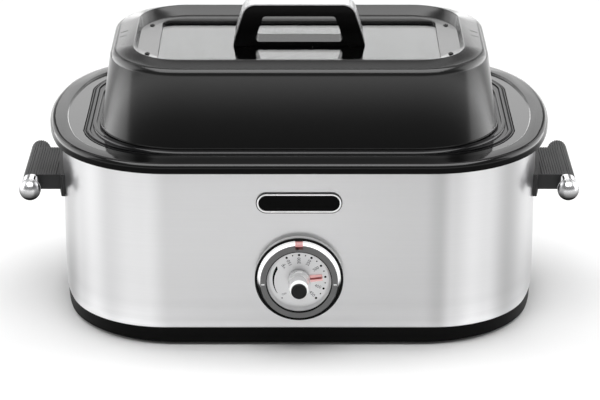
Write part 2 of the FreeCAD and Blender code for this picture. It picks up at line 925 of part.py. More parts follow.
def make_lid_screws():
    screws = []
    for place in lid_screw_places():
        seat = place.add(V(0, 0, recess_floor_z))
        head = cylinder(lid_screw_head_r, seat, seat.add(V(0, 0, lid_screw_head_h)))
        shank = cylinder(lid_screw_r, place.add(V(0, 0, glass_bottom_z)),
                         seat.add(V(0, 0, lid_screw_head_h / 2)))
        screws.append(fused([head, shank]))
    return Part.makeCompound(screws)


def rounded_loop(corners, radii):
    """Closed wire through corners in the XZ plane, each rounded by its own radius."""
    edges = []
    count = len(corners)
    starts = []
    ends = []
    for index, corner in enumerate(corners):
        back = corners[index - 1].sub(corner).normalize()
        ahead = corners[(index + 1) % count].sub(corner).normalize()
        half = back.getAngle(ahead) / 2
        reach = radii[index] / math.tan(half)
        starts.append(corner.add(V(back).multiply(reach)))
        ends.append(corner.add(V(ahead).multiply(reach)))
        if radii[index] > 0:
            inward = back.add(ahead).normalize()
            centre = corner.add(V(inward).multiply(radii[index] / math.sin(half)))
            middle = centre.sub(V(inward).multiply(radii[index]))
            edges.append(arc(starts[-1], middle, ends[-1]))
    for index in range(count):
        edges.append(line(ends[index], starts[(index + 1) % count]))
    return Part.Wire(Part.__sortEdges__(edges))


def handle_profile(inset, y):
    foot = V(handle_foot_half_x - inset, y, glass_top_z)
    knee = V(handle_knee_half_x - inset, y, handle_knee_z)
    top = V(handle_top_half_x - inset, y, handle_top_z - inset)
    left = [V(-corner.x, corner.y, corner.z) for corner in (foot, knee, top)]
    corners = left + [top, knee, foot]
    radii = [0, 0, handle_top_r - inset, handle_top_r - inset, 0, 0]
    return rounded_loop(corners, radii)


def across(wire, depth):
    return Part.Face(wire).extrude(V(0, depth, 0))


def trim_solid():
    outer = across(handle_profile(0, -trim_half_depth), 2 * trim_half_depth)
    inner = across(handle_profile(trim_wall, -through / 2), through)
    keep = block(V(-through / 2, -through / 2, handle_knee_z),
                 V(through / 2, through / 2, handle_top_z + sink))
    return outer.cut(inner).common(keep)


def make_lid_handle():
    loop = across(handle_profile(0, -bar_half_depth), 2 * bar_half_depth)
    floor = glass_top_z + opening_floor
    top = handle_top_z - handle_bar
    corners = [V(-opening_foot_half_x, -through / 2, floor), V(-opening_top_half_x, -through / 2, top),
               V(opening_top_half_x, -through / 2, top), V(opening_foot_half_x, -through / 2, floor)]
    opening = across(rounded_loop(corners, [opening_r] * len(corners)), through)
    handle = loop.cut(opening).cut(trim_solid())
    for place in handle_bolt_places():
        handle = handle.cut(cylinder(handle_bolt_r, place, place.add(V(0, 0, glass_top_z + bolt_reach))))
    return handle


def make_handle_bolts():
    bolts = []
    for place in handle_bolt_places():
        seat = glass_bottom_z - washer_wall
        head = cylinder(screw_head_r, place.add(V(0, 0, seat - screw_head_h)), place.add(V(0, 0, seat)))
        shank = cylinder(handle_bolt_r, place.add(V(0, 0, seat - sink)),
                         place.add(V(0, 0, glass_top_z + bolt_reach - sink / 2)))
        bolts.append(fused([head, shank]))
    return Part.makeCompound(bolts)


def make_handle_washers():
    washers = [cylinder(washer_r, place.add(V(0, 0, glass_bottom_z - washer_wall)),
                        place.add(V(0, 0, glass_bottom_z))) for place in handle_bolt_places()]
    return drilled(Part.makeCompound(washers), handle_bolt_places(), handle_bolt_r + screw_play)


def make_pan():
    outer = tub(pan_half_x + pan_wall, pan_half_y + pan_wall, pan_corner_r + pan_wall, pan_taper,
                rim_ledge_z, pan_floor_z - pan_wall)
    inner = tub(pan_half_x, pan_half_y, pan_corner_r, pan_taper, rim_ledge_z, pan_floor_z)
    flange = face_up(pan_flange_outline(-pan_play, pan_flange_z), pan_flange_wall)
    bead_from = -pan_play - pan_bead_inset
    edge_bead = band_between(pan_flange_outline, bead_from - pan_bead_width, bead_from, pan_flange_z,
                             pan_flange_wall + pan_bead_height)
    foot = lid_flare + lid_foot_lip + seat_bead_gap
    seat_bead = band_between(lid_outline, foot, foot + seat_bead_width, pan_flange_z,
                             pan_flange_wall + seat_bead_height)
    mouth = rounded(pan_half_x, pan_half_y, pan_corner_r, rim_ledge_z)
    return fused([outer, flange, edge_bead, seat_bead]).cut(inner).cut(face_up(mouth, through))


def rack_half(pan_half):
    return pan_half - pan_taper - rack_play


def wire_path(points, wire_r):
    shapes = []
    for first, last in zip(points, points[1:]):
        shapes.append(cylinder(wire_r, first, last))
    for corner in points[1:-1]:
        shapes.append(Part.makeSphere(wire_r, corner))
    return shapes


def wire_ring(half_x, half_y, corner_r, z):
    outline = rounded(half_x, half_y, corner_r, z)
    section = Part.Wire(Part.makeCircle(rack_wire_r, V(0, half_y, z), X_AXIS))
    return outline.makePipeShell([section], True, False)


def make_rack_frame():
    half_x = rack_half(pan_half_x)
    shapes = [wire_ring(half_x, rack_half(pan_half_y), rack_corner_r, rack_frame_z)]
    for x in (-half_x, half_x):
        top = rack_frame_z + rack_loop_height
        shapes += wire_path([V(x, -rack_loop_half_y, rack_frame_z), V(x, -rack_loop_half_y, top),
                             V(x, rack_loop_half_y, top), V(x, rack_loop_half_y, rack_frame_z)],
                            rack_loop_wire_r)
    return shapes[0].multiFuse(shapes[1:])


def make_rack_bars():
    half_x = rack_half(pan_half_x)
    half_y = rack_half(pan_half_y)
    bars = []
    for index in range(rack_bar_count):
        x = (index - (rack_bar_count - 1) / 2) * rack_bar_pitch
        bend = max(0.0, abs(x) - (half_x - rack_corner_r))
        reach = half_y - rack_corner_r + math.sqrt(rack_corner_r ** 2 - bend ** 2)
        bars.append(cylinder(rack_wire_r, V(x, -reach, rack_bar_z), V(x, reach, rack_bar_z)))
    return Part.makeCompound(bars)


def make_rack_runners():
    runners = []
    for y in (-rack_foot_y, rack_foot_y):
        corners = [V(-rack_foot_x, y, pan_floor_z), V(-rack_foot_x, y, runner_z),
                   V(rack_foot_x, y, runner_z), V(rack_foot_x, y, pan_floor_z)]
        runners.append(fused(wire_path(corners, rack_wire_r)))
    return Part.makeCompound(runners)


def make_cord_gland():
    points_y = [(gland_r, body_half_y, body_half_y + gland_grip),
                (gland_neck_r, body_half_y - wrap_wall - gland_inside, gland_back_y),
                (gland_r, body_half_y - wrap_wall - gland_inside, body_half_y - wrap_wall)]
    rings = [cylinder(radius, V(gland_x, start, gland_z), V(gland_x, end, gland_z))
             for radius, start, end in points_y]
    bore = cylinder(gland_bore_r, V(gland_x, 0, gland_z), V(gland_x, through, gland_z))
    return fused(rings).cut(bore)


def make_terminal_block():
    back = body_half_y - wrap_wall - gland_inside - block_gap
    return block(V(gland_x - block_half_x, back - block_depth, plate_top_z),
                 V(gland_x + block_half_x, back, plate_top_z + block_height))


def side_handle_pieces():
    return {
        "handle_flange": make_handle_flange(),
        "grip": make_handle_grip(),
        "ferrule": make_handle_ferrule(),
        "ball": make_handle_ball(),
        "grip_rod": make_handle_rod(),
        "handle_screws": make_handle_screws(),
    }


def body_pieces():
    return {
        "base_ring": make_base_ring(),
        "bottom_plate": make_bottom_plate(),
        "feet": make_feet(),
        "foot_screws": make_foot_screws(),
        "base_screws": make_base_screws(),
        "outer_wrap": make_outer_wrap(),
        "top_rim": make_top_rim(),
        "heating_well": make_well(),
        "heating_band": make_heating_band(),
        "band_clamps": make_band_clamps(),
        "insulation_blanket": make_blanket(),
        "well_posts": make_well_posts(),
        "thermostat_bracket": make_thermostat_bracket(),
        "thermostat_body": make_thermostat_body(),
        "capillary_tube": make_capillary(),
        "sensing_bulb": make_sensing_bulb(),
        "bulb_clip": make_bulb_clip(),
        "pilot_lamp": make_pilot_lamp(),
        "pilot_lens": make_pilot_lens(),
        "dial_bezel": make_dial_bezel(),
        "dial_cone": make_dial_cone(),
        "dial_ring": make_dial_ring(),
        "dial_face": make_dial_face(),
        "badge_frame": make_badge_frame(),
        "badge_plate": make_badge_plate(),
        "cord_gland": make_cord_gland(),
        "terminal_block": make_terminal_block(),
    }


def knob_pieces():
    return {
        "thermostat_shaft": make_thermostat_shaft(),
        "knob_skirt": make_knob_skirt(),
        "knob_body": make_knob_body(),
        "knob_collar": make_knob_collar(),
        "knob_cap": make_knob_cap(),
        "knob_pointer": make_knob_pointer(),
    }


def lid_pieces():
    return {
        "lid_shell": make_lid_shell(),
        "window_gasket": make_window_gasket(),
        "window_glass": make_window_glass(),
        "glass_retainer": make_glass_retainer(),
        "lid_screws": make_lid_screws(),
        "lid_handle": make_lid_handle(),
        "handle_trim": trim_solid(),
        "handle_bolts": make_handle_bolts(),
        "handle_washers": make_handle_washers(),
    }


def main():
    os.makedirs("parts", exist_ok=True)
    pieces = {}
    for group in (body_pieces(), knob_pieces(), lid_pieces()):
        pieces.update(group)
    for name, shape in side_handle_pieces().items():
        pieces["right_" + name] = shape
        pieces["left_" + name] = mirrored_x(shape)
    pieces["roasting_pan"] = make_pan()
    pieces["rack_frame"] = make_rack_frame()
    pieces["rack_bars"] = make_rack_bars()
    pieces["rack_runners"] = make_rack_runners()
    for name, shape in pieces.items():
        export(name, shape)
        print(name, "solids", len(shape.Solids), "volume", round(shape.Volume), "valid", shape.isValid())


main()
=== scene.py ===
import bpy
import bmesh
import json
import math
from mathutils import Matrix, Vector


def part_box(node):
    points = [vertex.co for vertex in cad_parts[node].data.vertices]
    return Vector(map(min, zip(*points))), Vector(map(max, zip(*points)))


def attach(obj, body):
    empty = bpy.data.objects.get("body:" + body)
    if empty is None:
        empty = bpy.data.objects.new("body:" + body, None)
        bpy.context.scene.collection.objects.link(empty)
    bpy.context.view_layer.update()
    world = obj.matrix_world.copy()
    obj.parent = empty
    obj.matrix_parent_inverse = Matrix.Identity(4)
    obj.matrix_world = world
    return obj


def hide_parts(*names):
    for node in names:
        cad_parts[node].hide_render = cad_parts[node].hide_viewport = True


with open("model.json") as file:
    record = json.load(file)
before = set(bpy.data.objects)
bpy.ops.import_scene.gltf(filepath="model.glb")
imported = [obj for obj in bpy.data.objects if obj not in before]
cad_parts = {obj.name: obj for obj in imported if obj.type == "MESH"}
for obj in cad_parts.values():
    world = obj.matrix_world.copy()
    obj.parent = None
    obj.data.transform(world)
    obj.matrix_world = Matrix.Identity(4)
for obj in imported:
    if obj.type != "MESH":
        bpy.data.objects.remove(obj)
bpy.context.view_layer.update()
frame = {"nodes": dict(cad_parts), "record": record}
cadNodes = frame["nodes"]
scene = bpy.context.scene
mm = 0.001
bodyHalfY = 164
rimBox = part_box("top_rim")
yShift = (rimBox[1].y + rimBox[0].y) / 2  # the body's middle, measured from the origin
bodyFront = yShift - bodyHalfY * mm


def groupNode(tree, kind, x, y, **values):
    node = tree.nodes.new(kind)
    node.location = (x, y)
    for name, value in values.items():
        setattr(node, name, value)
    return node


def grainGroup():  # streaks or specks, stretched by a vector, as a value from 0 to 1
    tree = bpy.data.node_groups.new("grain", "ShaderNodeTree")
    tree.interface.new_socket("Stretch", in_out="INPUT", socket_type="NodeSocketVector")
    detail = tree.interface.new_socket("Detail", in_out="INPUT", socket_type="NodeSocketFloat")
    detail.default_value = 3.0
    tree.interface.new_socket("Grain", in_out="OUTPUT", socket_type="NodeSocketFloat")
    tree.interface.new_socket("Cloud", in_out="OUTPUT", socket_type="NodeSocketFloat")
    start = groupNode(tree, "NodeGroupInput", -600, 0)
    end = groupNode(tree, "NodeGroupOutput", 400, 0)
    where = groupNode(tree, "ShaderNodeTexCoord", -600, -200)
    stretched = groupNode(tree, "ShaderNodeVectorMath", -400, 0, operation="MULTIPLY")
    fine = groupNode(tree, "ShaderNodeTexNoise", -200, 0)
    broad = groupNode(tree, "ShaderNodeTexNoise", -200, -250)
    fine.inputs["Scale"].default_value = 1.0
    fine.inputs["Roughness"].default_value = 0.65
    broad.inputs["Scale"].default_value = 14.0
    broad.inputs["Detail"].default_value = 2.0
    tree.links.new(where.outputs["Object"], stretched.inputs[0])
    tree.links.new(start.outputs["Stretch"], stretched.inputs[1])
    tree.links.new(stretched.outputs[0], fine.inputs["Vector"])
    tree.links.new(start.outputs["Detail"], fine.inputs["Detail"])
    tree.links.new(where.outputs["Object"], broad.inputs["Vector"])
    tree.links.new(fine.outputs["Fac"], end.inputs["Grain"])
    tree.links.new(broad.outputs["Fac"], end.inputs["Cloud"])
    return tree


grainTree = grainGroup()


def finish(name, colour, rough, metal=0.0, stretch=(900, 900, 900), tone=0.04, spread=0.04, bump=0.0,
           sockets=None):
    material = bpy.data.materials.new(name)
    material.use_nodes = True
    tree = material.node_tree
    shader = tree.nodes["Principled BSDF"]
    grain = groupNode(tree, "ShaderNodeGroup", -700, 0, node_tree=grainTree)
    grain.inputs["Stretch"].default_value = stretch
    darker = [c * (1 - tone) for c in colour]
    lighter = [min(1.0, c * (1 + tone)) for c in colour]
    tint = groupNode(tree, "ShaderNodeMix", -400, 150, data_type="RGBA")
    tint.inputs["A"].default_value = (*darker, 1)
    tint.inputs["B"].default_value = (*lighter, 1)
    tree.links.new(grain.outputs["Grain"], tint.inputs["Factor"])
    tree.links.new(tint.outputs["Result"], shader.inputs["Base Color"])
    sheen = groupNode(tree, "ShaderNodeMapRange", -400, -100)
    sheen.inputs["From Min"].default_value = 0.3
    sheen.inputs["From Max"].default_value = 0.7
    sheen.inputs["To Min"].default_value = max(0.0, rough - spread)
    sheen.inputs["To Max"].default_value = rough + spread
    tree.links.new(grain.outputs["Cloud"], sheen.inputs["Value"])
    tree.links.new(sheen.outputs["Result"], shader.inputs["Roughness"])
    shader.inputs["Metallic"].default_value = metal
    if bump:
        relief = groupNode(tree, "ShaderNodeBump", -400, -350)
        relief.inputs["Strength"].default_value = 1.0
        relief.inputs["Distance"].default_value = bump
        tree.links.new(grain.outputs["Grain"], relief.inputs["Height"])
        tree.links.new(relief.outputs["Normal"], shader.inputs["Normal"])
    for socket, value in (sockets or {}).items():
        shader.inputs[socket].default_value = value
    return material


# colour, roughness, metal, grain per metre, tone, spread of the roughness, bump in metres, other sockets
satinSteel = finish("satinSteel", (0.58, 0.58, 0.585), 0.28, 1.0, (9, 9, 700), 0.03, 0.004, 0.0)
blackEnamel = finish("blackEnamel", (0.004, 0.004, 0.004), 0.22, 0.0, (700, 700, 700), 0.2, 0.015, 0.000004,
                     {"Specular IOR Level": 0.1, "Coat Roughness": 0.2, "Coat IOR": 1.5})
rimEnamel = finish("rimEnamel", (0.0025, 0.0025, 0.0025), 0.12, 0.0, (700, 700, 700), 0.2, 0.02, 0.000003,
                   {"Specular IOR Level": 0.05, "Coat Roughness": 0.09, "Coat IOR": 1.5})
panEnamel = finish("panEnamel", (0.003, 0.003, 0.0035), 0.1, 0.0, (600, 600, 600), 0.3, 0.03, 0.000004,
                   {"Specular IOR Level": 0.25})
beadEnamel = finish("beadEnamel", (0.003, 0.003, 0.0035), 0.1, 0.0, (600, 600, 600), 0.3, 0.03, 0.000004)
glossBlack = finish("glossBlack", (0.0015, 0.0015, 0.0015), 0.12, 0.0, (300, 300, 300), 0.1, 0.02, 0.0,
                    {"Specular IOR Level": 0.04})
capBlack = finish("capBlack", (0.008, 0.008, 0.008), 0.3, 0.0, (1500, 1500, 1500), 0.1, 0.04, 0.00001,
                  {"Specular IOR Level": 0.15})
basePlastic = finish("basePlastic", (0.006, 0.006, 0.006), 0.4, 0.0, (1200, 1200, 1200), 0.15, 0.04, 0.00001,
                     {"Specular IOR Level": 0.02})
gripPlastic = finish("gripPlastic", (0.032, 0.032, 0.0325), 0.5, 0.0, (1400, 1400, 1400), 0.12, 0.04, 0.00002,
                     {"Specular IOR Level": 0.2})
handlePlastic = finish("handlePlastic", (0.003, 0.003, 0.003), 0.18, 0.0, (1400, 1400, 1400), 0.12, 0.04,
                       0.00001, {"Specular IOR Level": 0.12})
chrome = finish("chrome", (0.83, 0.83, 0.84), 0.1, 1.0, (200, 200, 200), 0.02, 0.02)
trimMetal = finish("trimMetal", (0.58, 0.58, 0.585), 0.26, 1.0, (700, 20, 20), 0.03, 0.03)
silverFace = finish("silverFace", (0.68, 0.68, 0.685), 0.4, 0.6, (1500, 1500, 1500), 0.04, 0.03, 0.000008)
knobMetal = finish("knobMetal", (0.85, 0.85, 0.855), 0.26, 0.55, (900, 900, 900), 0.03, 0.03)
greyRing = finish("greyRing", (0.115, 0.115, 0.115), 0.4, 0.0, (1200, 1200, 1200), 0.08, 0.04, 0.00001)
# painted reflection and glow: the chrome cone is painted white and made to glow
conePaintedReflection = finish("conePaintedReflection", (0.92, 0.92, 0.92), 0.25, 0.0, (600, 600, 600), 0.02, 0.03, 0.0,
                   {"Emission Color": (1, 1, 1, 1), "Emission Strength": 0.6})
# the silver colour is the band's own; its glow is painted light
brightBand = finish("brightBand", (0.9, 0.9, 0.9), 0.3, 0.3, (900, 900, 900), 0.02, 0.03, 0.0,
                    {"Emission Color": (1, 1, 1, 1), "Emission Strength": 0.15})
# painted reflection and glow: the chrome collar is painted white and made to glow
collarPaintedReflection = finish("collarPaintedReflection", (0.94, 0.94, 0.94), 0.2, 0.1, (900, 900, 900), 0.02, 0.03, 0.0,
                     {"Emission Color": (1, 1, 1, 1), "Emission Strength": 0.15})
darkEdge = finish("darkEdge", (0.035, 0.035, 0.035), 0.3, 0.2, (900, 900, 900), 0.08, 0.03)
darkScrew = finish("darkScrew", (0.01, 0.01, 0.01), 0.3, 0.1, (900, 900, 900), 0.15, 0.05, 0.00001)
redLens = finish("redLens", (0.85, 0.3, 0.28), 0.2, 0.0, (500, 500, 500), 0.1, 0.04)
redPaint = finish("redPaint", (0.2, 0.012, 0.012), 0.35, 0.0, (500, 500, 500), 0.1, 0.04)
# the pink tint and see-through are the blade's own; its glow is painted light
pinkBlade = finish("pinkBlade", (1.0, 0.55, 0.53), 0.3, 0.0, (500, 500, 500), 0.05, 0.03, 0.0,
                   {"Alpha": 0.45, "Emission Color": (1.0, 0.6, 0.58, 1), "Emission Strength": 0.25})
# black print, also used as painted shade in the pan's grooves and in dark gaps and slots
blackPrintAndShade = finish("blackPrintAndShade", (0.004, 0.004, 0.004), 0.5, 0.0, (900, 900, 900), 0.2, 0.05, 0.0,
                  {"Specular IOR Level": 0.05})
greyInk = finish("greyInk", (0.05, 0.05, 0.055), 0.5, 0.0, (900, 900, 900), 0.1, 0.05, 0.0,
                 {"Specular IOR Level": 0.2})
paintedGlintWhite = finish("paintedGlintWhite", (0.85, 0.85, 0.85), 0.5, 0.0, (900, 900, 900), 0.03, 0.05)
platedSteel = finish("platedSteel", (0.55, 0.55, 0.55), 0.35, 1.0, (400, 400, 400), 0.06, 0.06, 0.00002)
dullAluminium = finish("dullAluminium", (0.6, 0.6, 0.61), 0.45, 1.0, (500, 500, 500), 0.06, 0.06, 0.00002)
rubber = finish("rubber", (0.015, 0.015, 0.015), 0.65, 0.0, (1500, 1500, 1500), 0.2, 0.05, 0.00003)
glassWool = finish("glassWool", (0.78, 0.74, 0.58), 0.95, 0.0, (300, 300, 900), 0.25, 0.03, 0.0006)
brownPlastic = finish("brownPlastic", (0.05, 0.022, 0.012), 0.5, 0.0, (900, 900, 900), 0.15, 0.05, 0.00002)
copper = finish("copper", (0.72, 0.36, 0.22), 0.3, 1.0, (500, 500, 500), 0.08, 0.06)
lampGlass = finish("lampGlass", (0.95, 0.6, 0.4), 0.08, 0.0, (500, 500, 500), 0.05, 0.02, 0.0,
                   {"Transmission Weight": 0.6})
bezelBlack = finish("bezelBlack", (0.003, 0.003, 0.003), 0.2, 0.0, (300, 300, 300), 0.1, 0.02, 0.0,
                    {"Specular IOR Level": 0.08})
ballChrome = finish("ballChrome", (0.85, 0.85, 0.86), 0.27, 1.0, (200, 200, 200), 0.02, 0.02, 0.0,
                    {"Specular Tint": (0.3, 0.3, 0.3, 1)})
windowGlass = finish("windowGlass", (0.96, 0.98, 0.98), 0.01, 0.0, (200, 200, 200), 0.01, 0.008, 0.0,
                     {"Transmission Weight": 1.0, "IOR": 1.5})


def grey(level):
    return (level, level, level)


def rampAlong(tree, source, axis, start, end, stops, y=400):  # colours by place along one axis
    where = groupNode(tree, "ShaderNodeTexCoord", -1000, y)
    parts = groupNode(tree, "ShaderNodeSeparateXYZ", -800, y)
    span = groupNode(tree, "ShaderNodeMapRange", -600, y)
    span.inputs["From Min"].default_value = start
    span.inputs["From Max"].default_value = end
    bands = groupNode(tree, "ShaderNodeValToRGB", -400, y)
    for index, (place, colour) in enumerate(stops):
        stop = bands.color_ramp.elements[index] if index < 2 else bands.color_ramp.elements.new(place)
        stop.position = place
        stop.color = (*colour, 1)
    tree.links.new(where.outputs[source], parts.inputs["Vector"])
    tree.links.new(parts.outputs[axis], span.inputs["Value"])
    tree.links.new(span.outputs["Result"], bands.inputs["Fac"])
    return bands


def colourAlong(material, axis, start, end, stops, sockets=("Base Color",)):  # start and end in metres
    tree = material.node_tree
    bands = rampAlong(tree, "Object", axis, start, end, stops)
    for socket in sockets:
        tree.links.new(bands.outputs["Color"], tree.nodes["Principled BSDF"].inputs[socket])


def toneAlong(material, axis, stops):  # painted light: soft bands painted lighter and darker over the colour already there
    tree = material.node_tree
    colour = tree.nodes["Principled BSDF"].inputs["Base Color"]
    before = colour.links[0].from_socket
    low, high = stops[0][0], stops[-1][0]
    peak = max(tone for place, tone in stops)
    shares = [((place - low) / (high - low), grey(tone / peak)) for place, tone in stops]
    bands = rampAlong(tree, "Object", axis, low * mm, high * mm, shares, 800)
    bands.color_ramp.interpolation = "EASE"
    product = groupNode(tree, "ShaderNodeVectorMath", -200, 600, operation="MULTIPLY")
    scaled = groupNode(tree, "ShaderNodeVectorMath", -100, 600, operation="SCALE")
    scaled.inputs["Scale"].default_value = peak
    tree.links.new(before, product.inputs[0])
    tree.links.new(bands.outputs["Color"], product.inputs[1])
    tree.links.new(product.outputs[0], scaled.inputs[0])
    tree.links.new(scaled.outputs[0], colour)


# painted reflection: upright bands painted lighter and darker across the steel, standing for the softboxes
# mirrored in it
toneAlong(satinSteel, "X", [(-250, 0.9), (-243, 0.72), (-228, 1.15), (-214, 1.34), (-196, 1.12), (-176, 1.22),
                            (-158, 1.18), (-134, 0.93), (0, 0.91), (126, 0.84), (144, 0.72), (158, 1.0),
                            (180, 1.26), (194, 1.2), (217, 0.77), (238, 1.08), (250, 0.95)])
# painted light: the steel is painted lighter towards its foot, against the shade of the floor mirrored there
toneAlong(satinSteel, "Z", [(20, 1.5), (32, 1.22), (50, 1.05), (75, 1.0), (199, 1.03)])

colourAlong(redLens, "Z", 0.1143, 0.1203, [  # dark red on the ring, pale pink above it
    (0.0, (0.14, 0.08, 0.08)), (0.22, (0.2, 0.05, 0.05)), (0.3, (0.12, 0.004, 0.006)),
    (0.5, (0.16, 0.006, 0.008)), (0.57, (0.9, 0.42, 0.42)), (0.82, (0.95, 0.6, 0.6)), (1.0, (0.9, 0.4, 0.4))])
colourAlong(conePaintedReflection, "Z", 0.066, 0.078, [  # painted reflection: the upper half of the chrome ring behind the dial is painted white and glowing, the lower half painted dark
    (0.0, grey(0.004)), (0.4, grey(0.01)), (0.75, grey(0.6)), (1.0, grey(0.92))],
            ("Base Color", "Emission Color"))
colourAlong(rimEnamel, "Z", 0.194, 0.2056, [  # the skirt is duller than the rolled top
    (0.0, grey(0.0)), (0.55, grey(0.05)), (0.75, grey(1.0)), (0.93, grey(1.0)), (0.99, grey(0.6))],
            ("Coat Weight",))
colourAlong(blackEnamel, "Z", 0.203, 0.291, [  # duller towards the lid's foot
    (0.0, grey(0.4)), (0.3, grey(0.5)), (0.7, grey(0.85)), (0.85, grey(1.0))],
            ("Coat Weight",))
colourAlong(bezelBlack, "Y", bodyFront - 0.0082, bodyFront, [  # painted reflection: the black bezel's side is painted grey at its foot, fading to black at the lip
    (0.0, grey(0.003)), (0.1, grey(0.004)), (0.22, grey(0.3)), (0.4, grey(0.6)), (1.0, grey(0.75))])
colourAlong(ballChrome, "Z", 0.1247, 0.1473, [  # painted shade: the chrome is painted darker underneath
    (0.0, grey(0.004)), (0.2, grey(0.015)), (0.42, grey(0.28)), (0.66, (0.85, 0.85, 0.86))])

nodeFinish = {
    "base_ring": basePlastic, "bottom_plate": platedSteel, "feet": rubber, "foot_screws": platedSteel,
    "base_screws": platedSteel, "outer_wrap": satinSteel, "top_rim": rimEnamel,
    "heating_well": dullAluminium, "heating_band": platedSteel, "band_clamps": platedSteel,
    "insulation_blanket": glassWool, "well_posts": platedSteel, "thermostat_bracket": platedSteel,
    "thermostat_body": brownPlastic, "capillary_tube": copper, "sensing_bulb": copper,
    "bulb_clip": platedSteel, "pilot_lamp": lampGlass, "pilot_lens": redLens, "dial_bezel": glossBlack,
    "dial_cone": conePaintedReflection, "dial_ring": greyRing, "dial_face": silverFace, "badge_frame": chrome,
    "badge_plate": glossBlack, "cord_gland": basePlastic, "terminal_block": brownPlastic,
    "thermostat_shaft": platedSteel, "knob_skirt": knobMetal, "knob_body": knobMetal,
    "knob_collar": chrome, "knob_cap": glossBlack, "knob_pointer": redPaint, "lid_shell": blackEnamel,
    "window_gasket": rubber, "window_glass": windowGlass, "glass_retainer": blackEnamel,
    "lid_screws": platedSteel, "lid_handle": handlePlastic, "handle_trim": trimMetal,
    "handle_bolts": platedSteel, "handle_washers": rubber, "roasting_pan": panEnamel,
    "rack_frame": chrome, "rack_bars": chrome, "rack_runners": chrome}
for side in ("left", "right"):
    nodeFinish.update({side + "_handle_flange": gripPlastic, side + "_grip": gripPlastic,
                       side + "_ferrule": chrome, side + "_ball": ballChrome,
                       side + "_grip_rod": platedSteel, side + "_handle_screws": platedSteel})
for name, node in cadNodes.items():
    node.data.materials.clear()
    node.data.materials.append(nodeFinish[name])
bodyOf = {name: body for body, names in frame["record"]["behaviour"]["bodies"].items() for name in names}
print("materials done", len(nodeFinish))


def turned(bm, degrees, axis):
    turn = Matrix.Rotation(math.radians(degrees), 3, axis)
    bmesh.ops.rotate(bm, verts=bm.verts, cent=(0, 0, 0), matrix=turn)


def moved(bm, x, y, z):
    bmesh.ops.translate(bm, verts=bm.verts, vec=(x, y, z))


def flipped(bm):  # to the other side of the body
    bmesh.ops.scale(bm, verts=bm.verts, vec=(-1, 1, 1))
    bmesh.ops.recalc_face_normals(bm, faces=bm.faces)


def block(x, y, z):  # round the origin, its size in mm
    bm = bmesh.new()
    bmesh.ops.create_cube(bm, size=1.0)
    bmesh.ops.scale(bm, verts=bm.verts, vec=(x * mm, y * mm, z * mm))
    return bm


def smoothed(bm, limit):
    for face in bm.faces:
        face.smooth = True
    for edge in bm.edges:
        edge.smooth = len(edge.link_faces) == 2 and edge.calc_face_angle(0.0) < math.radians(limit)


def placed(name, bm, material, body, replaced=(), limit=32):
    smoothed(bm, limit)
    mesh = bpy.data.meshes.new(name)
    bm.to_mesh(mesh)
    bm.free()
    if "custom_normal" in mesh.attributes:
        mesh.attributes.remove(mesh.attributes["custom_normal"])
    mesh.materials.clear()
    mesh.materials.append(material)
    piece = bpy.data.objects.new(name, mesh)
    scene.collection.objects.link(piece)
    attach(piece, body)
    if replaced:
        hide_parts(*replaced)
    return piece


def rounded(piece, width, segments=3, angle=32):
    bevel = piece.modifiers.new("roundedEdges", "BEVEL")
    bevel.width = width
    bevel.segments = segments
    bevel.limit_method = "ANGLE"
    bevel.angle_limit = math.radians(angle)
    bevel.harden_normals = True
    bevel.use_clamp_overlap = True


def softened(node, width, segments=2, stretch=(1, 1, 1), pivot=(0, 0, 0)):  # a merged copy with rounded edges
    bm = bmesh.new()
    bm.from_mesh(cadNodes[node].data)
    bmesh.ops.remove_doubles(bm, verts=bm.verts, dist=0.002 * mm)
    bmesh.ops.dissolve_limit(bm, angle_limit=math.radians(0.4), verts=bm.verts, edges=bm.edges)
    bmesh.ops.scale(bm, verts=bm.verts, vec=stretch, space=Matrix.Translation(-Vector(pivot)))
    piece = placed(node + "_soft", bm, nodeFinish[node], bodyOf[node], (node,))
    rounded(piece, width, segments)


def outlineLoop(bm, shape, grow, z, steps):
    halfX = (shape["halfX"] + grow) * mm
    halfY = (shape["halfY"] + grow) * mm
    corner = (shape["corner"] + grow) * mm
    high = z * mm
    before = set(bm.verts)
    lean = 0.0
    cornerX = halfX - corner
    if "end" in shape:
        end = (shape["end"] + grow) * mm
        rise = halfY - corner
        run = math.sqrt((end - corner) ** 2 - rise ** 2)
        cornerX = halfX - end + run
        lean = math.atan2(rise, run)
    elif "side" in shape:  # the corner arc stops early, at a straight end
        lean = math.asin((shape["side"] * mm - halfY + corner) / corner)
        cornerX = halfX - corner * math.cos(lean)
    first = bm.verts.new((0, -halfY, high))
    turn = bm.verts.new((cornerX, -halfY, high))
    bm.edges.new((first, turn))
    arc = bmesh.ops.spin(bm, geom=[turn], cent=(cornerX, corner - halfY, high), axis=(0, 0, 1),
                         angle=math.pi / 2 - lean, steps=steps)
    last = [part for part in arc["geom_last"] if isinstance(part, bmesh.types.BMVert)][0]
    if "end" in shape:
        bmesh.ops.spin(bm, geom=[last], cent=(halfX - end, 0, high), axis=(0, 0, 1), angle=lean, steps=6)
    elif halfY - corner > 1e-7:
        bm.edges.new((last, bm.verts.new((halfX, 0, high))))
    for axis in ("X", "Y"):
        fresh = [vert for vert in bm.verts if vert not in before]
        edges = list({edge for vert in fresh for edge in vert.link_edges})
        bmesh.ops.mirror(bm, geom=fresh + edges, matrix=Matrix.Identity(4), merge_dist=1e-5, axis=axis)
    fresh = {vert for vert in bm.verts if vert not in before}
    return list({edge for vert in fresh for edge in vert.link_edges})


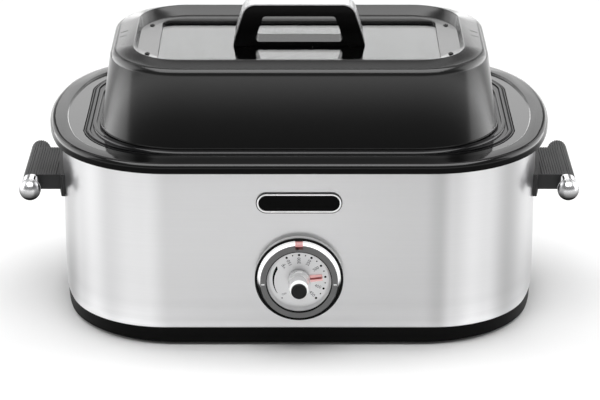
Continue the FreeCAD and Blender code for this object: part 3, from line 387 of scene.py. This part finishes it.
def walked(edges):  # a loop's verts in order, from the middle of the front towards the right
    verts = {vert for edge in edges for vert in edge.verts}
    here = min(verts, key=lambda vert: (abs(vert.co.x) > 1e-6, vert.co.y))
    ring = [here]
    while True:
        near = [edge.other_vert(here) for edge in here.link_edges if edge in edges]
        fresh = [vert for vert in near if vert not in ring]
        if not fresh:
            return ring
        here = max(fresh, key=lambda vert: vert.co.x) if len(ring) == 1 else fresh[0]
        ring.append(here)


def outlinePoints(shape, grow, z, steps):
    bm = bmesh.new()
    points = [vert.co.copy() for vert in walked(set(outlineLoop(bm, shape, grow, z, steps)))]
    bm.free()
    return points


def skin(loops, steps, shift=True):  # one wall carried through a row of outlines and back to the first
    bm = bmesh.new()
    edges = outlineLoop(bm, *loops[0], steps)
    ring = walked(set(edges))
    rows = [outlinePoints(*loop, steps) for loop in loops[1:]]
    rows.append([vert.co.copy() for vert in ring])
    for row in rows:
        grown = bmesh.ops.extrude_edge_only(bm, edges=edges)["geom"]
        edges = [part for part in grown if isinstance(part, bmesh.types.BMEdge)
                 and not any(vert in part.verts for vert in ring)]
        fresh = {vert for edge in edges for vert in edge.verts}
        ring = [next(edge.other_vert(vert) for edge in vert.link_edges if edge.other_vert(vert) in fresh)
                for vert in ring]
        for vert, point in zip(ring, row):
            vert.co = point
    bmesh.ops.remove_doubles(bm, verts=bm.verts, dist=1e-6)
    if shift:
        moved(bm, 0, yShift, 0)
    bmesh.ops.recalc_face_normals(bm, faces=bm.faces)
    return bm


def lathe(profile, centre, axis, steps):  # (radius, height) points turned round an upright or level axis
    bm = bmesh.new()
    row = [bm.verts.new((radius * mm, 0, height * mm)) for radius, height in profile]
    edges = [bm.edges.new(pair) for pair in zip(row, row[1:])]
    if profile[0][0] > 0 or profile[-1][0] > 0:
        edges.append(bm.edges.new((row[-1], row[0])))
    bmesh.ops.spin(bm, geom=row + edges, cent=(0, 0, 0), axis=(0, 0, 1), angle=2 * math.pi, steps=steps,
                   use_merge=True)
    bmesh.ops.remove_doubles(bm, verts=bm.verts, dist=1e-7)
    if axis == "Y":
        turned(bm, 90, "X")
    moved(bm, *centre)
    bmesh.ops.recalc_face_normals(bm, faces=bm.faces)
    return bm


def absorb(bm, other):  # adds one bmesh to another
    mesh = bpy.data.meshes.new("scrap")
    other.to_mesh(mesh)
    other.free()
    bm.from_mesh(mesh)
    bpy.data.meshes.remove(mesh)


def bend(count, fromAngle, toAngle):
    return [math.radians(fromAngle + (toAngle - fromAngle) * step / count) for step in range(count + 1)]


body = {"halfX": 254, "halfY": bodyHalfY, "corner": 107, "end": 290, "foot": 20.4, "top": 199.4, "wall": 1.0,
        "footWidth": 12, "footRound": 1.2}


def steelWrap():
    loops = []
    for angle in bend(4, 90, 0):
        loops.append((body, -body["footRound"] * (1 - math.cos(angle)),
                      body["foot"] + body["footRound"] * (1 - math.sin(angle))))
    loops += [(body, 0, body["top"]), (body, -body["wall"], body["top"]),
              (body, -body["wall"], body["foot"] + body["wall"]),
              (body, -body["footWidth"], body["foot"] + body["wall"]),
              (body, -body["footWidth"], body["foot"])]
    placed("steel_wrap", skin(loops, steps=28), satinSteel, "oven", ("outer_wrap",))


steelWrap()
print("steel body done")


lid = {"halfX": 196.8, "halfY": 117.5, "corner": 76, "foot": 203.4, "flare": 12.5, "lip": 1.2, "lipHeight": 3,
       "shoulder": 286.5, "roll": 7, "wall": 2}
ridge = {"halfX": 172, "halfY": 97.5, "corner": 50, "top": 291}
recess = {"halfX": 169.5, "halfY": 87.2, "corner": 58, "floor": 282}
window = {"halfX": 147.6, "halfY": 66, "corner": 9}


def between(first, last, share):  # an outline part of the way from one to another
    return {key: first[key] + (last[key] - first[key]) * share for key in ("halfX", "halfY", "corner")}


def lidShell():
    lean = lid["flare"] / (lid["shoulder"] - lid["foot"])
    foot, lip = lid["foot"], lid["flare"] + lid["lip"]
    wallFoot = lid["flare"] - lean * lid["lipHeight"]
    loops = [(lid, lip, foot), (lid, lip, foot + lid["lipHeight"] - 0.5),
             (lid, lip - 0.15, foot + lid["lipHeight"] - 0.15), (lid, lip - 0.5, foot + lid["lipHeight"]),
             (lid, wallFoot + 0.3, foot + lid["lipHeight"]),
             (lid, wallFoot - 0.1, foot + lid["lipHeight"] + 0.5)]
    for angle in bend(9, 0, 90):
        drop = lid["roll"] * (1 - math.sin(angle))
        loops.append((lid, lean * drop - lid["roll"] * (1 - math.cos(angle)), lid["shoulder"] - drop))
    brow = {"halfX": lid["halfX"] - lid["roll"], "halfY": lid["halfY"] - lid["roll"],
            "corner": lid["corner"] - lid["roll"]}
    slope = [(between(brow, ridge, share), 0, lid["shoulder"] + (ridge["top"] - lid["shoulder"]) * height)
             for share, height in ((0.93, 0.93), (0.97, 0.975), (1.0, 0.985))]
    loops += slope
    fall = [(0.06, 0.03), (0.1, 0.09), (0.5, 0.5), (0.93, 0.93), (0.99, 0.985), (1.06, 1.0)]
    loops += [(between(ridge, recess, share), 0, ridge["top"] - (ridge["top"] - recess["floor"]) * depth)
              for share, depth in fall]
    loops += [(window, 0.4, recess["floor"]), (window, 0.1, recess["floor"] - 0.15),
              (window, 0, recess["floor"] - 0.5), (window, 0, recess["floor"] - lid["wall"])]
    under = lid["wall"]
    loops += [(recess, under, recess["floor"] - under), (ridge, 1.8, ridge["top"] - 2.4),
              (brow, -1.5, lid["shoulder"] - under)]
    for angle in bend(4, 75, 0):
        drop = (lid["roll"] - under) * (1 - math.sin(angle)) + under
        loops.append((lid, lean * drop - lid["roll"] + (lid["roll"] - under) * math.cos(angle),
                      lid["shoulder"] - drop))
    loops.append((lid, lid["flare"] - under, foot))
    placed("lid_shell_black", skin(loops, steps=22), blackEnamel, "lid", ("lid_shell",), 40)


lidShell()
print("lid done")

softEdges = {"base_ring": 0.8, "top_rim": 0.9, "roasting_pan": 1.1, "left_handle_flange": 0.6,
             "right_handle_flange": 0.6, "left_ferrule": 0.5, "right_ferrule": 0.5}
for node, width in softEdges.items():
    softened(node, width * mm)

handle = {"edge": 1.0, "narrower": 0.986, "lower": 0.987, "foot": 282}
trim = {"edge": 0.3, "halfDepth": 12.6, "reach": 14.15}  # reaches over the handle's front and back edges
softened("lid_handle", handle["edge"] * mm, 3, (handle["narrower"], 1, handle["lower"]),
         (0, yShift, handle["foot"] * mm))
softened("handle_trim", trim["edge"] * mm, 2, (1, trim["reach"] / trim["halfDepth"], 1), (0, yShift, 0))
print("softened copies done")


pan = {"halfX": 226, "halfY": 143, "corner": 90, "side": 68, "top": 203.4, "lines": ((1.9, 3.6), (6.0, 7.7)),
       "seat": 206, "rollFrom": 17, "rollMiddle": 20.4, "rollOut": 3.8, "rollHigh": 2.6}


def panRoll():  # the rounded seat bead that the lid drops inside
    narrow = {"halfX": lid["halfX"] - 3, "halfY": lid["halfY"], "corner": lid["corner"]}
    loops = [(lid, pan["rollFrom"], pan["top"]), (lid, pan["rollFrom"], pan["seat"] - 0.8),
             (lid, pan["rollFrom"] + 0.3, pan["seat"] - 0.2), (lid, pan["rollFrom"] + 1, pan["seat"] + 0.03)]
    for angle in bend(8, 90, 0):
        loops.append((narrow, pan["rollMiddle"] + pan["rollOut"] * math.cos(angle),
                      pan["top"] + 0.05 + pan["rollHigh"] * math.sin(angle)))
    placed("pan_seat_roll", skin(loops, steps=18), beadEnamel, "pan")


def panLines():  # painted shade: thin black strips laid on both sides of the raised line round the flange, standing for the shade in its grooves
    bm = bmesh.new()
    for near, far in pan["lines"]:
        absorb(bm, skin([(pan, -near, pan["top"] - 0.05), (pan, -near, pan["top"] + 0.06),
                         (pan, -far, pan["top"] + 0.06), (pan, -far, pan["top"] - 0.05)], steps=18))
    placed("pan_groove_shade", bm, blackPrintAndShade, "pan")


panRoll()
panLines()

dial = {"z": 78, "steps": 128, "bezel": [(4.2, 0), (45.6, 0), (45.6, 8.2), (42.9, 8.2), (42.9, 2), (4.2, 2)],
        "cone": [(42.6, 2.1), (42.6, 3), (39.9, 12.9), (38.5, 12.9), (41.2, 2.1)],
        "ring": [(33.8, 15.3), (39.9, 15.3), (39.9, 12.9), (36, 12.9), (36, 10), (33.8, 12.4)],
        "gap": [(33.1, 12.6), (34.0, 12.6), (34.0, 15.36), (33.5, 15.36), (33.1, 15.0)],
        "face": [(4.2, 5.7), (29, 5.7), (35.2, 12.9), (33.8, 12.9), (33.5, 11.4), (32.8, 9.8), (31.8, 8.5),
                 (30.4, 7.5), (28.8, 7.15), (27.0, 7.1), (4.2, 7.1)]}


def dialPart(name, profile, material, node, width, rider="oven"):
    bm = lathe(profile, (0, bodyFront, dial["z"] * mm), "Y", dial["steps"])
    piece = placed(name, bm, material, rider, (node,) if node else ())
    if width:
        rounded(piece, width * mm, 3, 25)


def dialParts():
    dialPart("dial_bezel_black", dial["bezel"], bezelBlack, "dial_bezel", 0.6)
    dialPart("dial_cone_painted_reflection", dial["cone"], conePaintedReflection, "dial_cone", 0.25)
    dialPart("dial_ring_grey", dial["ring"], greyRing, "dial_ring", 0.45)
    dialPart("dial_face_silver", dial["face"], silverFace, "dial_face", 0)
    dialPart("dial_gap_black", dial["gap"], blackPrintAndShade, "", 0)


dialParts()

knob = {"skirt": [(3, 7.9), (10.6, 7.9), (11.5, 8.6), (11.5, 12.6), (10.6, 14.1), (3, 14.1)],
        "body": [(3, 14.1), (10.8, 14.1), (10.2, 32.8), (0, 32.8), (0, 22.3), (3, 22.3)],
        "collar": [(8.05, 32.8), (9.9, 32.8), (9.6, 34.6), (8.5, 37.2), (8.05, 37.4)],
        "cap": [(0, 32.8), (8.05, 32.8), (8.05, 39.6), (7.3, 40.6), (6.6, 40.75), (6.2, 40.5), (0, 40.4)],
        "turn": 84, "bladeFrom": 11.4, "bladeTo": 24.2, "bladeHalf": 3.8, "bladeLow": 7.95, "bladeHigh": 8.35,
        "bladeTaper": 0.12}


def knobParts():
    dialPart("knob_skirt_silver", knob["skirt"], knobMetal, "knob_skirt", 0.3, "knob")
    dialPart("knob_body_silver", knob["body"], knobMetal, "knob_body", 0.4, "knob")
    dialPart("knob_collar_painted_reflection", knob["collar"], collarPaintedReflection, "knob_collar", 0.2,
             "knob")
    dialPart("knob_cap_black", knob["cap"], capBlack, "knob_cap", 0.25, "knob")
    bm = bmesh.new()
    bmesh.ops.create_grid(bm, x_segments=6, y_segments=2, size=0.5)
    length = knob["bladeTo"] - knob["bladeFrom"]
    bmesh.ops.scale(bm, verts=bm.verts, vec=(2 * knob["bladeHalf"] * mm, length * mm, 1))
    for vert in bm.verts:  # the blade narrows towards its tip
        vert.co.x *= 1 - knob["bladeTaper"] * (vert.co.y / (length * mm) + 0.5)
    moved(bm, 0, (knob["bladeFrom"] + length / 2) * mm, 0)
    bmesh.ops.solidify(bm, geom=bm.faces[:], thickness=-(knob["bladeHigh"] - knob["bladeLow"]) * mm)
    turned(bm, 90, "X")
    turned(bm, knob["turn"], "Y")
    moved(bm, 0, bodyFront - knob["bladeLow"] * mm, dial["z"] * mm)
    bmesh.ops.recalc_face_normals(bm, faces=bm.faces)
    placed("pointer_blade", bm, pinkBlade, "knob")


knobParts()

marks = {"radius": 27.15, "majors": (-28, 0, 28, 56, 84, 112, 140), "minors": (-14, 14, 42, 70, 98, 126),
         "numbers": (150, 200, 250, 300, 350, 400, 450), "majorDot": 1.25, "minorDot": 0.75, "thick": 0.08,
         "textRadius": 20.9, "textSize": 4.7, "textThick": 0.04, "face": 7.1, "lift": 0.06, "offAngle": -140}
degreeSign = {"text": "°F", "size": 6.0, "radius": 21.5, "angle": -44, "turn": -134}
offWord = {"text": "OFF", "size": 2.9, "radius": 22.4, "angle": -137, "turn": -12}
crescent = {"radius": 27.3, "from": 58, "to": 124, "wide": 3.0, "turn": -58}
ringGlint = {"size": (1.3, 3.4, 0.1), "radius": 37.2, "angle": 93.87, "turn": 90, "lift": 15.33}


def onDial(bm, radius, angle, turn, lift):  # from flat on the table to its place on the dial
    turned(bm, 90, "X")
    turned(bm, turn, "Y")
    way = math.radians(angle)
    across, up = radius * mm * math.sin(way), radius * mm * math.cos(way)
    moved(bm, across, bodyFront - lift * mm, dial["z"] * mm + up)
    return bm


def dot(radius):
    bm = bmesh.new()
    bmesh.ops.create_cone(bm, cap_ends=True, segments=20, radius1=radius * mm, radius2=radius * 0.92 * mm,
                          depth=marks["thick"] * mm)
    return bm


def lettering(text, size):
    curve = bpy.data.curves.new("words", "FONT")
    curve.body = text
    curve.size = size * mm
    curve.align_x = "CENTER"
    curve.align_y = "CENTER"
    curve.extrude = marks["textThick"] * mm
    curve.resolution_u = 3
    words = bpy.data.objects.new("words", curve)
    scene.collection.objects.link(words)
    bpy.context.view_layer.update()
    mesh = bpy.data.meshes.new_from_object(words.evaluated_get(bpy.context.evaluated_depsgraph_get()))
    bm = bmesh.new()
    bm.from_mesh(mesh)
    bpy.data.objects.remove(words)
    bpy.data.meshes.remove(mesh)
    bmesh.ops.remove_doubles(bm, verts=bm.verts, dist=1e-7)
    return bm


def swoosh(radius, fromAngle, toAngle, wide, steps=24):  # a crescent that thins towards its foot
    bm = bmesh.new()
    ends = [bm.verts.new((0, radius * mm, 0)), bm.verts.new((0, (radius - 0.02) * mm, 0))]
    edge = bm.edges.new(ends)
    bmesh.ops.spin(bm, geom=ends + [edge], cent=(0, 0, 0), axis=(0, 0, 1),
                   angle=math.radians(toAngle - fromAngle), steps=steps)
    for vert in bm.verts:
        turn = math.degrees(math.atan2(-vert.co.x, vert.co.y))
        share = turn / (toAngle - fromAngle)
        thick = wide * min(1.0, 0.3 + 9 * share) * (1 - 0.85 * share)
        if vert.co.length < (radius - 0.01) * mm:
            vert.co *= (radius - thick) / (radius - 0.02)
    bmesh.ops.solidify(bm, geom=bm.faces[:], thickness=marks["thick"] * mm)
    return bm


def word(sign, top):
    return onDial(lettering(sign["text"], sign["size"]), sign["radius"], sign["angle"], sign["turn"], top)


def dialPrinting():
    top = marks["face"] + marks["lift"]
    black, pale = bmesh.new(), bmesh.new()
    for angle in marks["majors"]:
        absorb(black, onDial(dot(marks["majorDot"]), marks["radius"], angle, 0, top))
    for angle in marks["minors"]:
        absorb(black, onDial(dot(marks["minorDot"]), marks["radius"], angle, 0, top))
    shape = swoosh(crescent["radius"], crescent["from"], crescent["to"], crescent["wide"])
    absorb(black, onDial(shape, 0, 0, crescent["turn"], top))
    for angle, number in zip(marks["majors"], marks["numbers"]):
        figure = lettering(str(number), marks["textSize"])
        absorb(pale, onDial(figure, marks["textRadius"], angle, angle - 90, top))
    absorb(pale, word(degreeSign, top))
    absorb(pale, onDial(dot(marks["minorDot"]), marks["radius"], marks["offAngle"], 0, top))
    absorb(pale, word(offWord, top))
    for name, bm, material in (("dial_scale", black, blackPrintAndShade), ("dial_numbers", pale, greyInk)):
        bmesh.ops.recalc_face_normals(bm, faces=bm.faces)
        placed(name, bm, material, "oven")
    # painted reflection: two small white marks at 3 and 9 o'clock on the grey ring stand for the horizon
    # mirrored in it
    glints = bmesh.new()
    for side in (-1, 1):
        absorb(glints, onDial(block(*ringGlint["size"]), ringGlint["radius"], side * ringGlint["angle"],
                             side * ringGlint["turn"], ringGlint["lift"]))
    placed("ring_glints", glints, paintedGlintWhite, "oven")


dialPrinting()
print("dial and knob done")

badge = {"halfX": 44.1, "halfY": 11.1, "corner": 11.1, "z": 159.8, "edge": 1.05, "band": 2.6, "proud": 2.6}


def badgeShape(loops):
    bm = skin(loops, steps=20, shift=False)
    turned(bm, 90, "X")
    moved(bm, 0, bodyFront, badge["z"] * mm)
    return bm


def badgeParts():
    edge, band, proud = badge["edge"], badge["band"], badge["proud"]
    outline = [(badge, 0, 0), (badge, 0, proud - 1.1), (badge, -0.3, proud - 0.8),
               (badge, -edge - 0.2, proud - 0.8), (badge, -edge - 0.2, 0)]
    rounded(placed("badge_outline", badgeShape(outline), darkEdge, "oven", ("badge_frame",)), 0.1 * mm)
    shine = [(badge, -edge, 0), (badge, -edge, proud - 0.5), (badge, -edge - 0.5, proud),
             (badge, -band + 0.4, proud), (badge, -band, proud - 0.4), (badge, -band, 0)]
    rounded(placed("badge_band", badgeShape(shine), brightBand, "oven"), 0.2 * mm)
    softened("badge_plate", 0.2 * mm)


badgeParts()
print("badge done")

grip = {"x": 285, "z": 136, "radius": 10.5, "from": -48, "to": 62, "ribs": 25, "groove": 0.9, "endRound": 2.6,
        "armFrom": -48, "armTo": 37, "armLow": 130, "armTop": 146.6, "pitch": 2.64, "flank": 0.45,
        "reachIn": 12, "plain": 14, "past": 1, "overlap": 2.0, "armSteps": 12}
slit = {"size": (1.5, 10.5, 0.5), "y": -56.2, "rise": 11.24, "turn": 22}


def bodyEnd(y):  # how far the steel reaches sideways at a place along the end
    return body["halfX"] - body["end"] + math.sqrt(body["end"] ** 2 - y * y)


def gripBar():
    bm = bmesh.new()
    perRib = 6
    bmesh.ops.create_circle(bm, segments=grip["ribs"] * perRib, radius=grip["radius"] * mm)
    bm.verts.ensure_lookup_table()
    for index, vert in enumerate(bm.verts[:]):
        if index % perRib == 0:
            vert.co *= 1 - grip["groove"] / grip["radius"]
        elif index % perRib in (1, perRib - 1):
            vert.co *= 1 - 0.2 * grip["groove"] / grip["radius"]
    length = grip["to"] - grip["from"]
    turnIn = grip["endRound"]
    stages = [(length - turnIn + turnIn * math.sin(angle),
               1 - turnIn * (1 - math.cos(angle)) / grip["radius"]) for angle in bend(6, 0, 90)]
    edges = bm.edges[:]
    before, size = 0.0, 1.0
    for along, share in [(2.0, 1.0)] + stages:
        grown = bmesh.ops.extrude_edge_only(bm, edges=edges)["geom"]
        fresh = [part for part in grown if isinstance(part, bmesh.types.BMVert)]
        edges = [part for part in grown if isinstance(part, bmesh.types.BMEdge)
                 and part.verts[0] in fresh and part.verts[1] in fresh]
        bmesh.ops.translate(bm, verts=fresh, vec=(0, 0, (along - before) * mm))
        bmesh.ops.scale(bm, verts=fresh, vec=(share / size, share / size, 1))
        before, size = along, share
    bmesh.ops.holes_fill(bm, edges=bm.edges, sides=0)
    turned(bm, -90, "X")
    moved(bm, -grip["x"] * mm, yShift + grip["from"] * mm, grip["z"] * mm)
    return bm


def gripArm():
    low, top, flank, pitch = grip["armLow"], grip["armTop"], grip["flank"], grip["pitch"]
    inner = body["halfX"] - grip["reachIn"]
    outer = grip["x"] + grip["past"]
    row = [(inner, low), (outer, low), (outer, top - 0.3)]
    right = grip["x"]
    while right - pitch > inner + grip["plain"]:
        row += [(right, top - 0.3 * grip["groove"]), (right - flank, top), (right - pitch + flank, top)]
        right -= pitch
        row.append((right, top - grip["groove"]))
    row += [(right - flank, top), (inner, top)]
    bm = bmesh.new()
    verts = [bm.verts.new((-x * mm, yShift + grip["armFrom"] * mm, z * mm)) for x, z in row]
    face = bm.faces.new(verts)
    stride = (grip["armTo"] - grip["armFrom"]) / grip["armSteps"]
    for step in range(grip["armSteps"]):
        grown = bmesh.ops.extrude_face_region(bm, geom=[face])["geom"]
        fresh = [part for part in grown if isinstance(part, bmesh.types.BMVert)]
        bmesh.ops.translate(bm, verts=fresh, vec=(0, stride * mm, 0))
        if step > 0:  # only the first face closes the arm's front
            bmesh.ops.delete(bm, geom=[face], context="FACES_ONLY")
        face = [part for part in grown if isinstance(part, bmesh.types.BMFace)][0]
    for vert in bm.verts:  # its foot follows the curved end, inside the flange
        if -vert.co.x < (inner + 1) * mm:
            vert.co.x = -(bodyEnd((vert.co.y - yShift) / mm) + grip["overlap"]) * mm
    return bm


def ferruleSlit():
    bm = block(*slit["size"])
    moved(bm, 0, yShift + slit["y"] * mm, slit["rise"] * mm)
    turned(bm, slit["turn"], "Y")
    moved(bm, -grip["x"] * mm, 0, grip["z"] * mm)
    return bm


def gripParts():
    for side in ("left", "right"):
        bm = gripBar()
        absorb(bm, gripArm())
        dark = ferruleSlit()
        if side == "right":
            flipped(bm)
            flipped(dark)
        bmesh.ops.recalc_face_normals(bm, faces=bm.faces)
        node = side + "_grip"
        piece = placed(node + "_ribbed", bm, gripPlastic, "oven", (node,), 30)
        rounded(piece, 0.4 * mm, 2, 50)
        rounded(placed(side + "_ferrule_slit", dark, blackPrintAndShade, "oven"), 0.2 * mm)


gripParts()
print("side handles done")

lidScrew = {"x": 158.3, "y": 49.5, "head": 2.7, "shank": 1.6, "tip": 1.2, "taper": 0.6, "high": 1.4,
            "socket": 1.1, "deep": 0.8}


def lidScrewHeads():
    head, shank, high, socket = lidScrew["head"], lidScrew["shank"], lidScrew["high"], lidScrew["socket"]
    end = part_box("lid_screws")[0].z / mm - recess["floor"]
    profile = [(0, end), (lidScrew["tip"], end), (shank, end + lidScrew["taper"]), (shank, 0), (head, 0),
               (head, 0.35 * high), (0.8 * head, 0.85 * high), (0.5 * head, high), (socket, high),
               (socket * 0.8, high - lidScrew["deep"]), (0, high - lidScrew["deep"])]
    bm = bmesh.new()
    for x in (-lidScrew["x"], lidScrew["x"]):
        for y in (-lidScrew["y"], lidScrew["y"]):
            absorb(bm, lathe(profile, (x * mm, yShift + y * mm, recess["floor"] * mm), "Z", 24))
    placed("lid_screw_heads", bm, darkScrew, "lid", ("lid_screws",))


lidScrewHeads()

vent = {"x": 186, "z": 287.26, "slope": 14.2, "length": 8.0, "deep": 0.5,
        "slots": ({"y": 10.0, "width": 1.71, "turn": 14}, {"y": -6.0, "width": 1.26, "turn": 4})}


def lidVents():  # two small slots in each end of the lid's top border
    bm = bmesh.new()
    for side in ("left", "right"):
        for slot in vent["slots"]:
            cut = block(vent["length"], slot["width"], vent["deep"])
            turned(cut, slot["turn"], "Z")
            turned(cut, -vent["slope"], "Y")
            moved(cut, -vent["x"] * mm, yShift + slot["y"] * mm, vent["z"] * mm)
            if side == "right":
                flipped(cut)
            absorb(bm, cut)
    bmesh.ops.recalc_face_normals(bm, faces=bm.faces)
    rounded(placed("lid_vent_slots", bm, blackPrintAndShade, "lid"), 0.3 * mm)


lidVents()

seam = {"half": 7, "low": 21.5, "high": 194, "proud": 0.7}


def wrapSeam():  # the folded joint up the middle of the back
    bm = block(2 * seam["half"], 2 * seam["proud"], seam["high"] - seam["low"])
    moved(bm, 0, yShift + bodyHalfY * mm, (seam["high"] + seam["low"]) / 2 * mm)
    rounded(placed("wrap_seam", bm, satinSteel, "oven"), 0.5 * mm)


wrapSeam()
print("small parts done")

floorPaper = finish("floorPaper", (0.86, 0.86, 0.86), 0.7, 0.0, (20, 20, 20), 0.004, 0.05)


def paperFloor():
    bm = bmesh.new()
    bmesh.ops.create_circle(bm, cap_ends=True, segments=96, radius=14.0)
    mesh = bpy.data.meshes.new("floor")
    bm.to_mesh(mesh)
    bm.free()
    mesh.materials.append(floorPaper)
    floor = bpy.data.objects.new("floor", mesh)
    scene.collection.objects.link(floor)


paperFloor()


def softbox(name, size, place, target, power):
    lamp = bpy.data.lights.new(name, "AREA")
    lamp.shape = "RECTANGLE"
    lamp.size, lamp.size_y = size
    lamp.energy = power
    light = bpy.data.objects.new(name, lamp)
    light.location = place
    light.rotation_euler = (Vector(target) - Vector(place)).to_track_quat("-Z", "Y").to_euler()
    light.visible_camera = False
    scene.collection.objects.link(light)
    return light


softbox("topLight", (2.6, 1.8), (0, -0.25, 2.2), (0, -0.1, 0.1), 48)
softbox("backPanel", (1.5, 1.9), (0, 2.7, 1.25), (0, 0, 0.75), 11.5)
for side in (-1, 1):
    softbox("backWing", (1.0, 1.6), (1.6 * side, 2.5, 1.2), (0, 0, 0.5), 4)
softbox("highPanel", (2.4, 0.5), (0, 1.3, 1.85), (0, 0, 0.3), 2.2)
for side in (-1, 1):
    panel = softbox("sidePanel", (2.8, 2.6), (2.2 * side, 0.85, 1.35), (0, 0, 1.0), 20)
    panel.data.spread = math.radians(95)
glow = softbox("floorGlow", (0.5, 0.6), (0, -0.45, 0.7), (0, -0.45, 0), 0.1)  # lifts the floor in front
glow.rotation_euler = (0, 0, math.radians(-90))
glow.data.spread = math.radians(14)

studio = {"high": 0.2, "horizon": 2.2, "low": 0.1, "backdrop": 0.93}


def studioWorld():
    world = bpy.data.worlds.new("studio")
    scene.world = world
    world.use_nodes = True
    tree = world.node_tree
    back = tree.nodes["Background"]
    low, horizon, high = studio["low"], studio["horizon"], studio["high"]
    stops = [(0.0, grey(low)), (0.497, grey(low)), (0.505, grey(horizon)), (0.55, grey(horizon / 2)),
             (0.64, grey(high * 1.3)), (0.75, grey(high)), (1.0, grey(high))]
    ramp = rampAlong(tree, "Generated", "Z", -1.0, 1.0, stops, 0)
    look = groupNode(tree, "ShaderNodeLightPath", -400, 300)
    seen = groupNode(tree, "ShaderNodeMix", -200, 0, data_type="RGBA")
    seen.inputs["B"].default_value = (*grey(studio["backdrop"]), 1)
    tree.links.new(ramp.outputs["Color"], seen.inputs["A"])
    tree.links.new(look.outputs["Is Camera Ray"], seen.inputs["Factor"])
    tree.links.new(seen.outputs["Result"], back.inputs["Color"])
    back.inputs["Strength"].default_value = 1.0


studioWorld()

view = {"sensor": 36.0, "lens": 147.0, "tilt": 21.34, "place": (0.00096, -2.4716, 1.070), "reach": 60}


def viewCamera():
    data = bpy.data.cameras.new("camera")
    data.sensor_width = view["sensor"]
    data.lens = view["lens"]
    data.clip_end = view["reach"]
    camera = bpy.data.objects.new("camera", data)
    camera.location = view["place"]
    camera.rotation_euler = (math.radians(90 - view["tilt"]), 0, 0)
    scene.collection.objects.link(camera)
    scene.camera = camera


viewCamera()
scene.view_settings.view_transform = "Standard"
print("stage done")
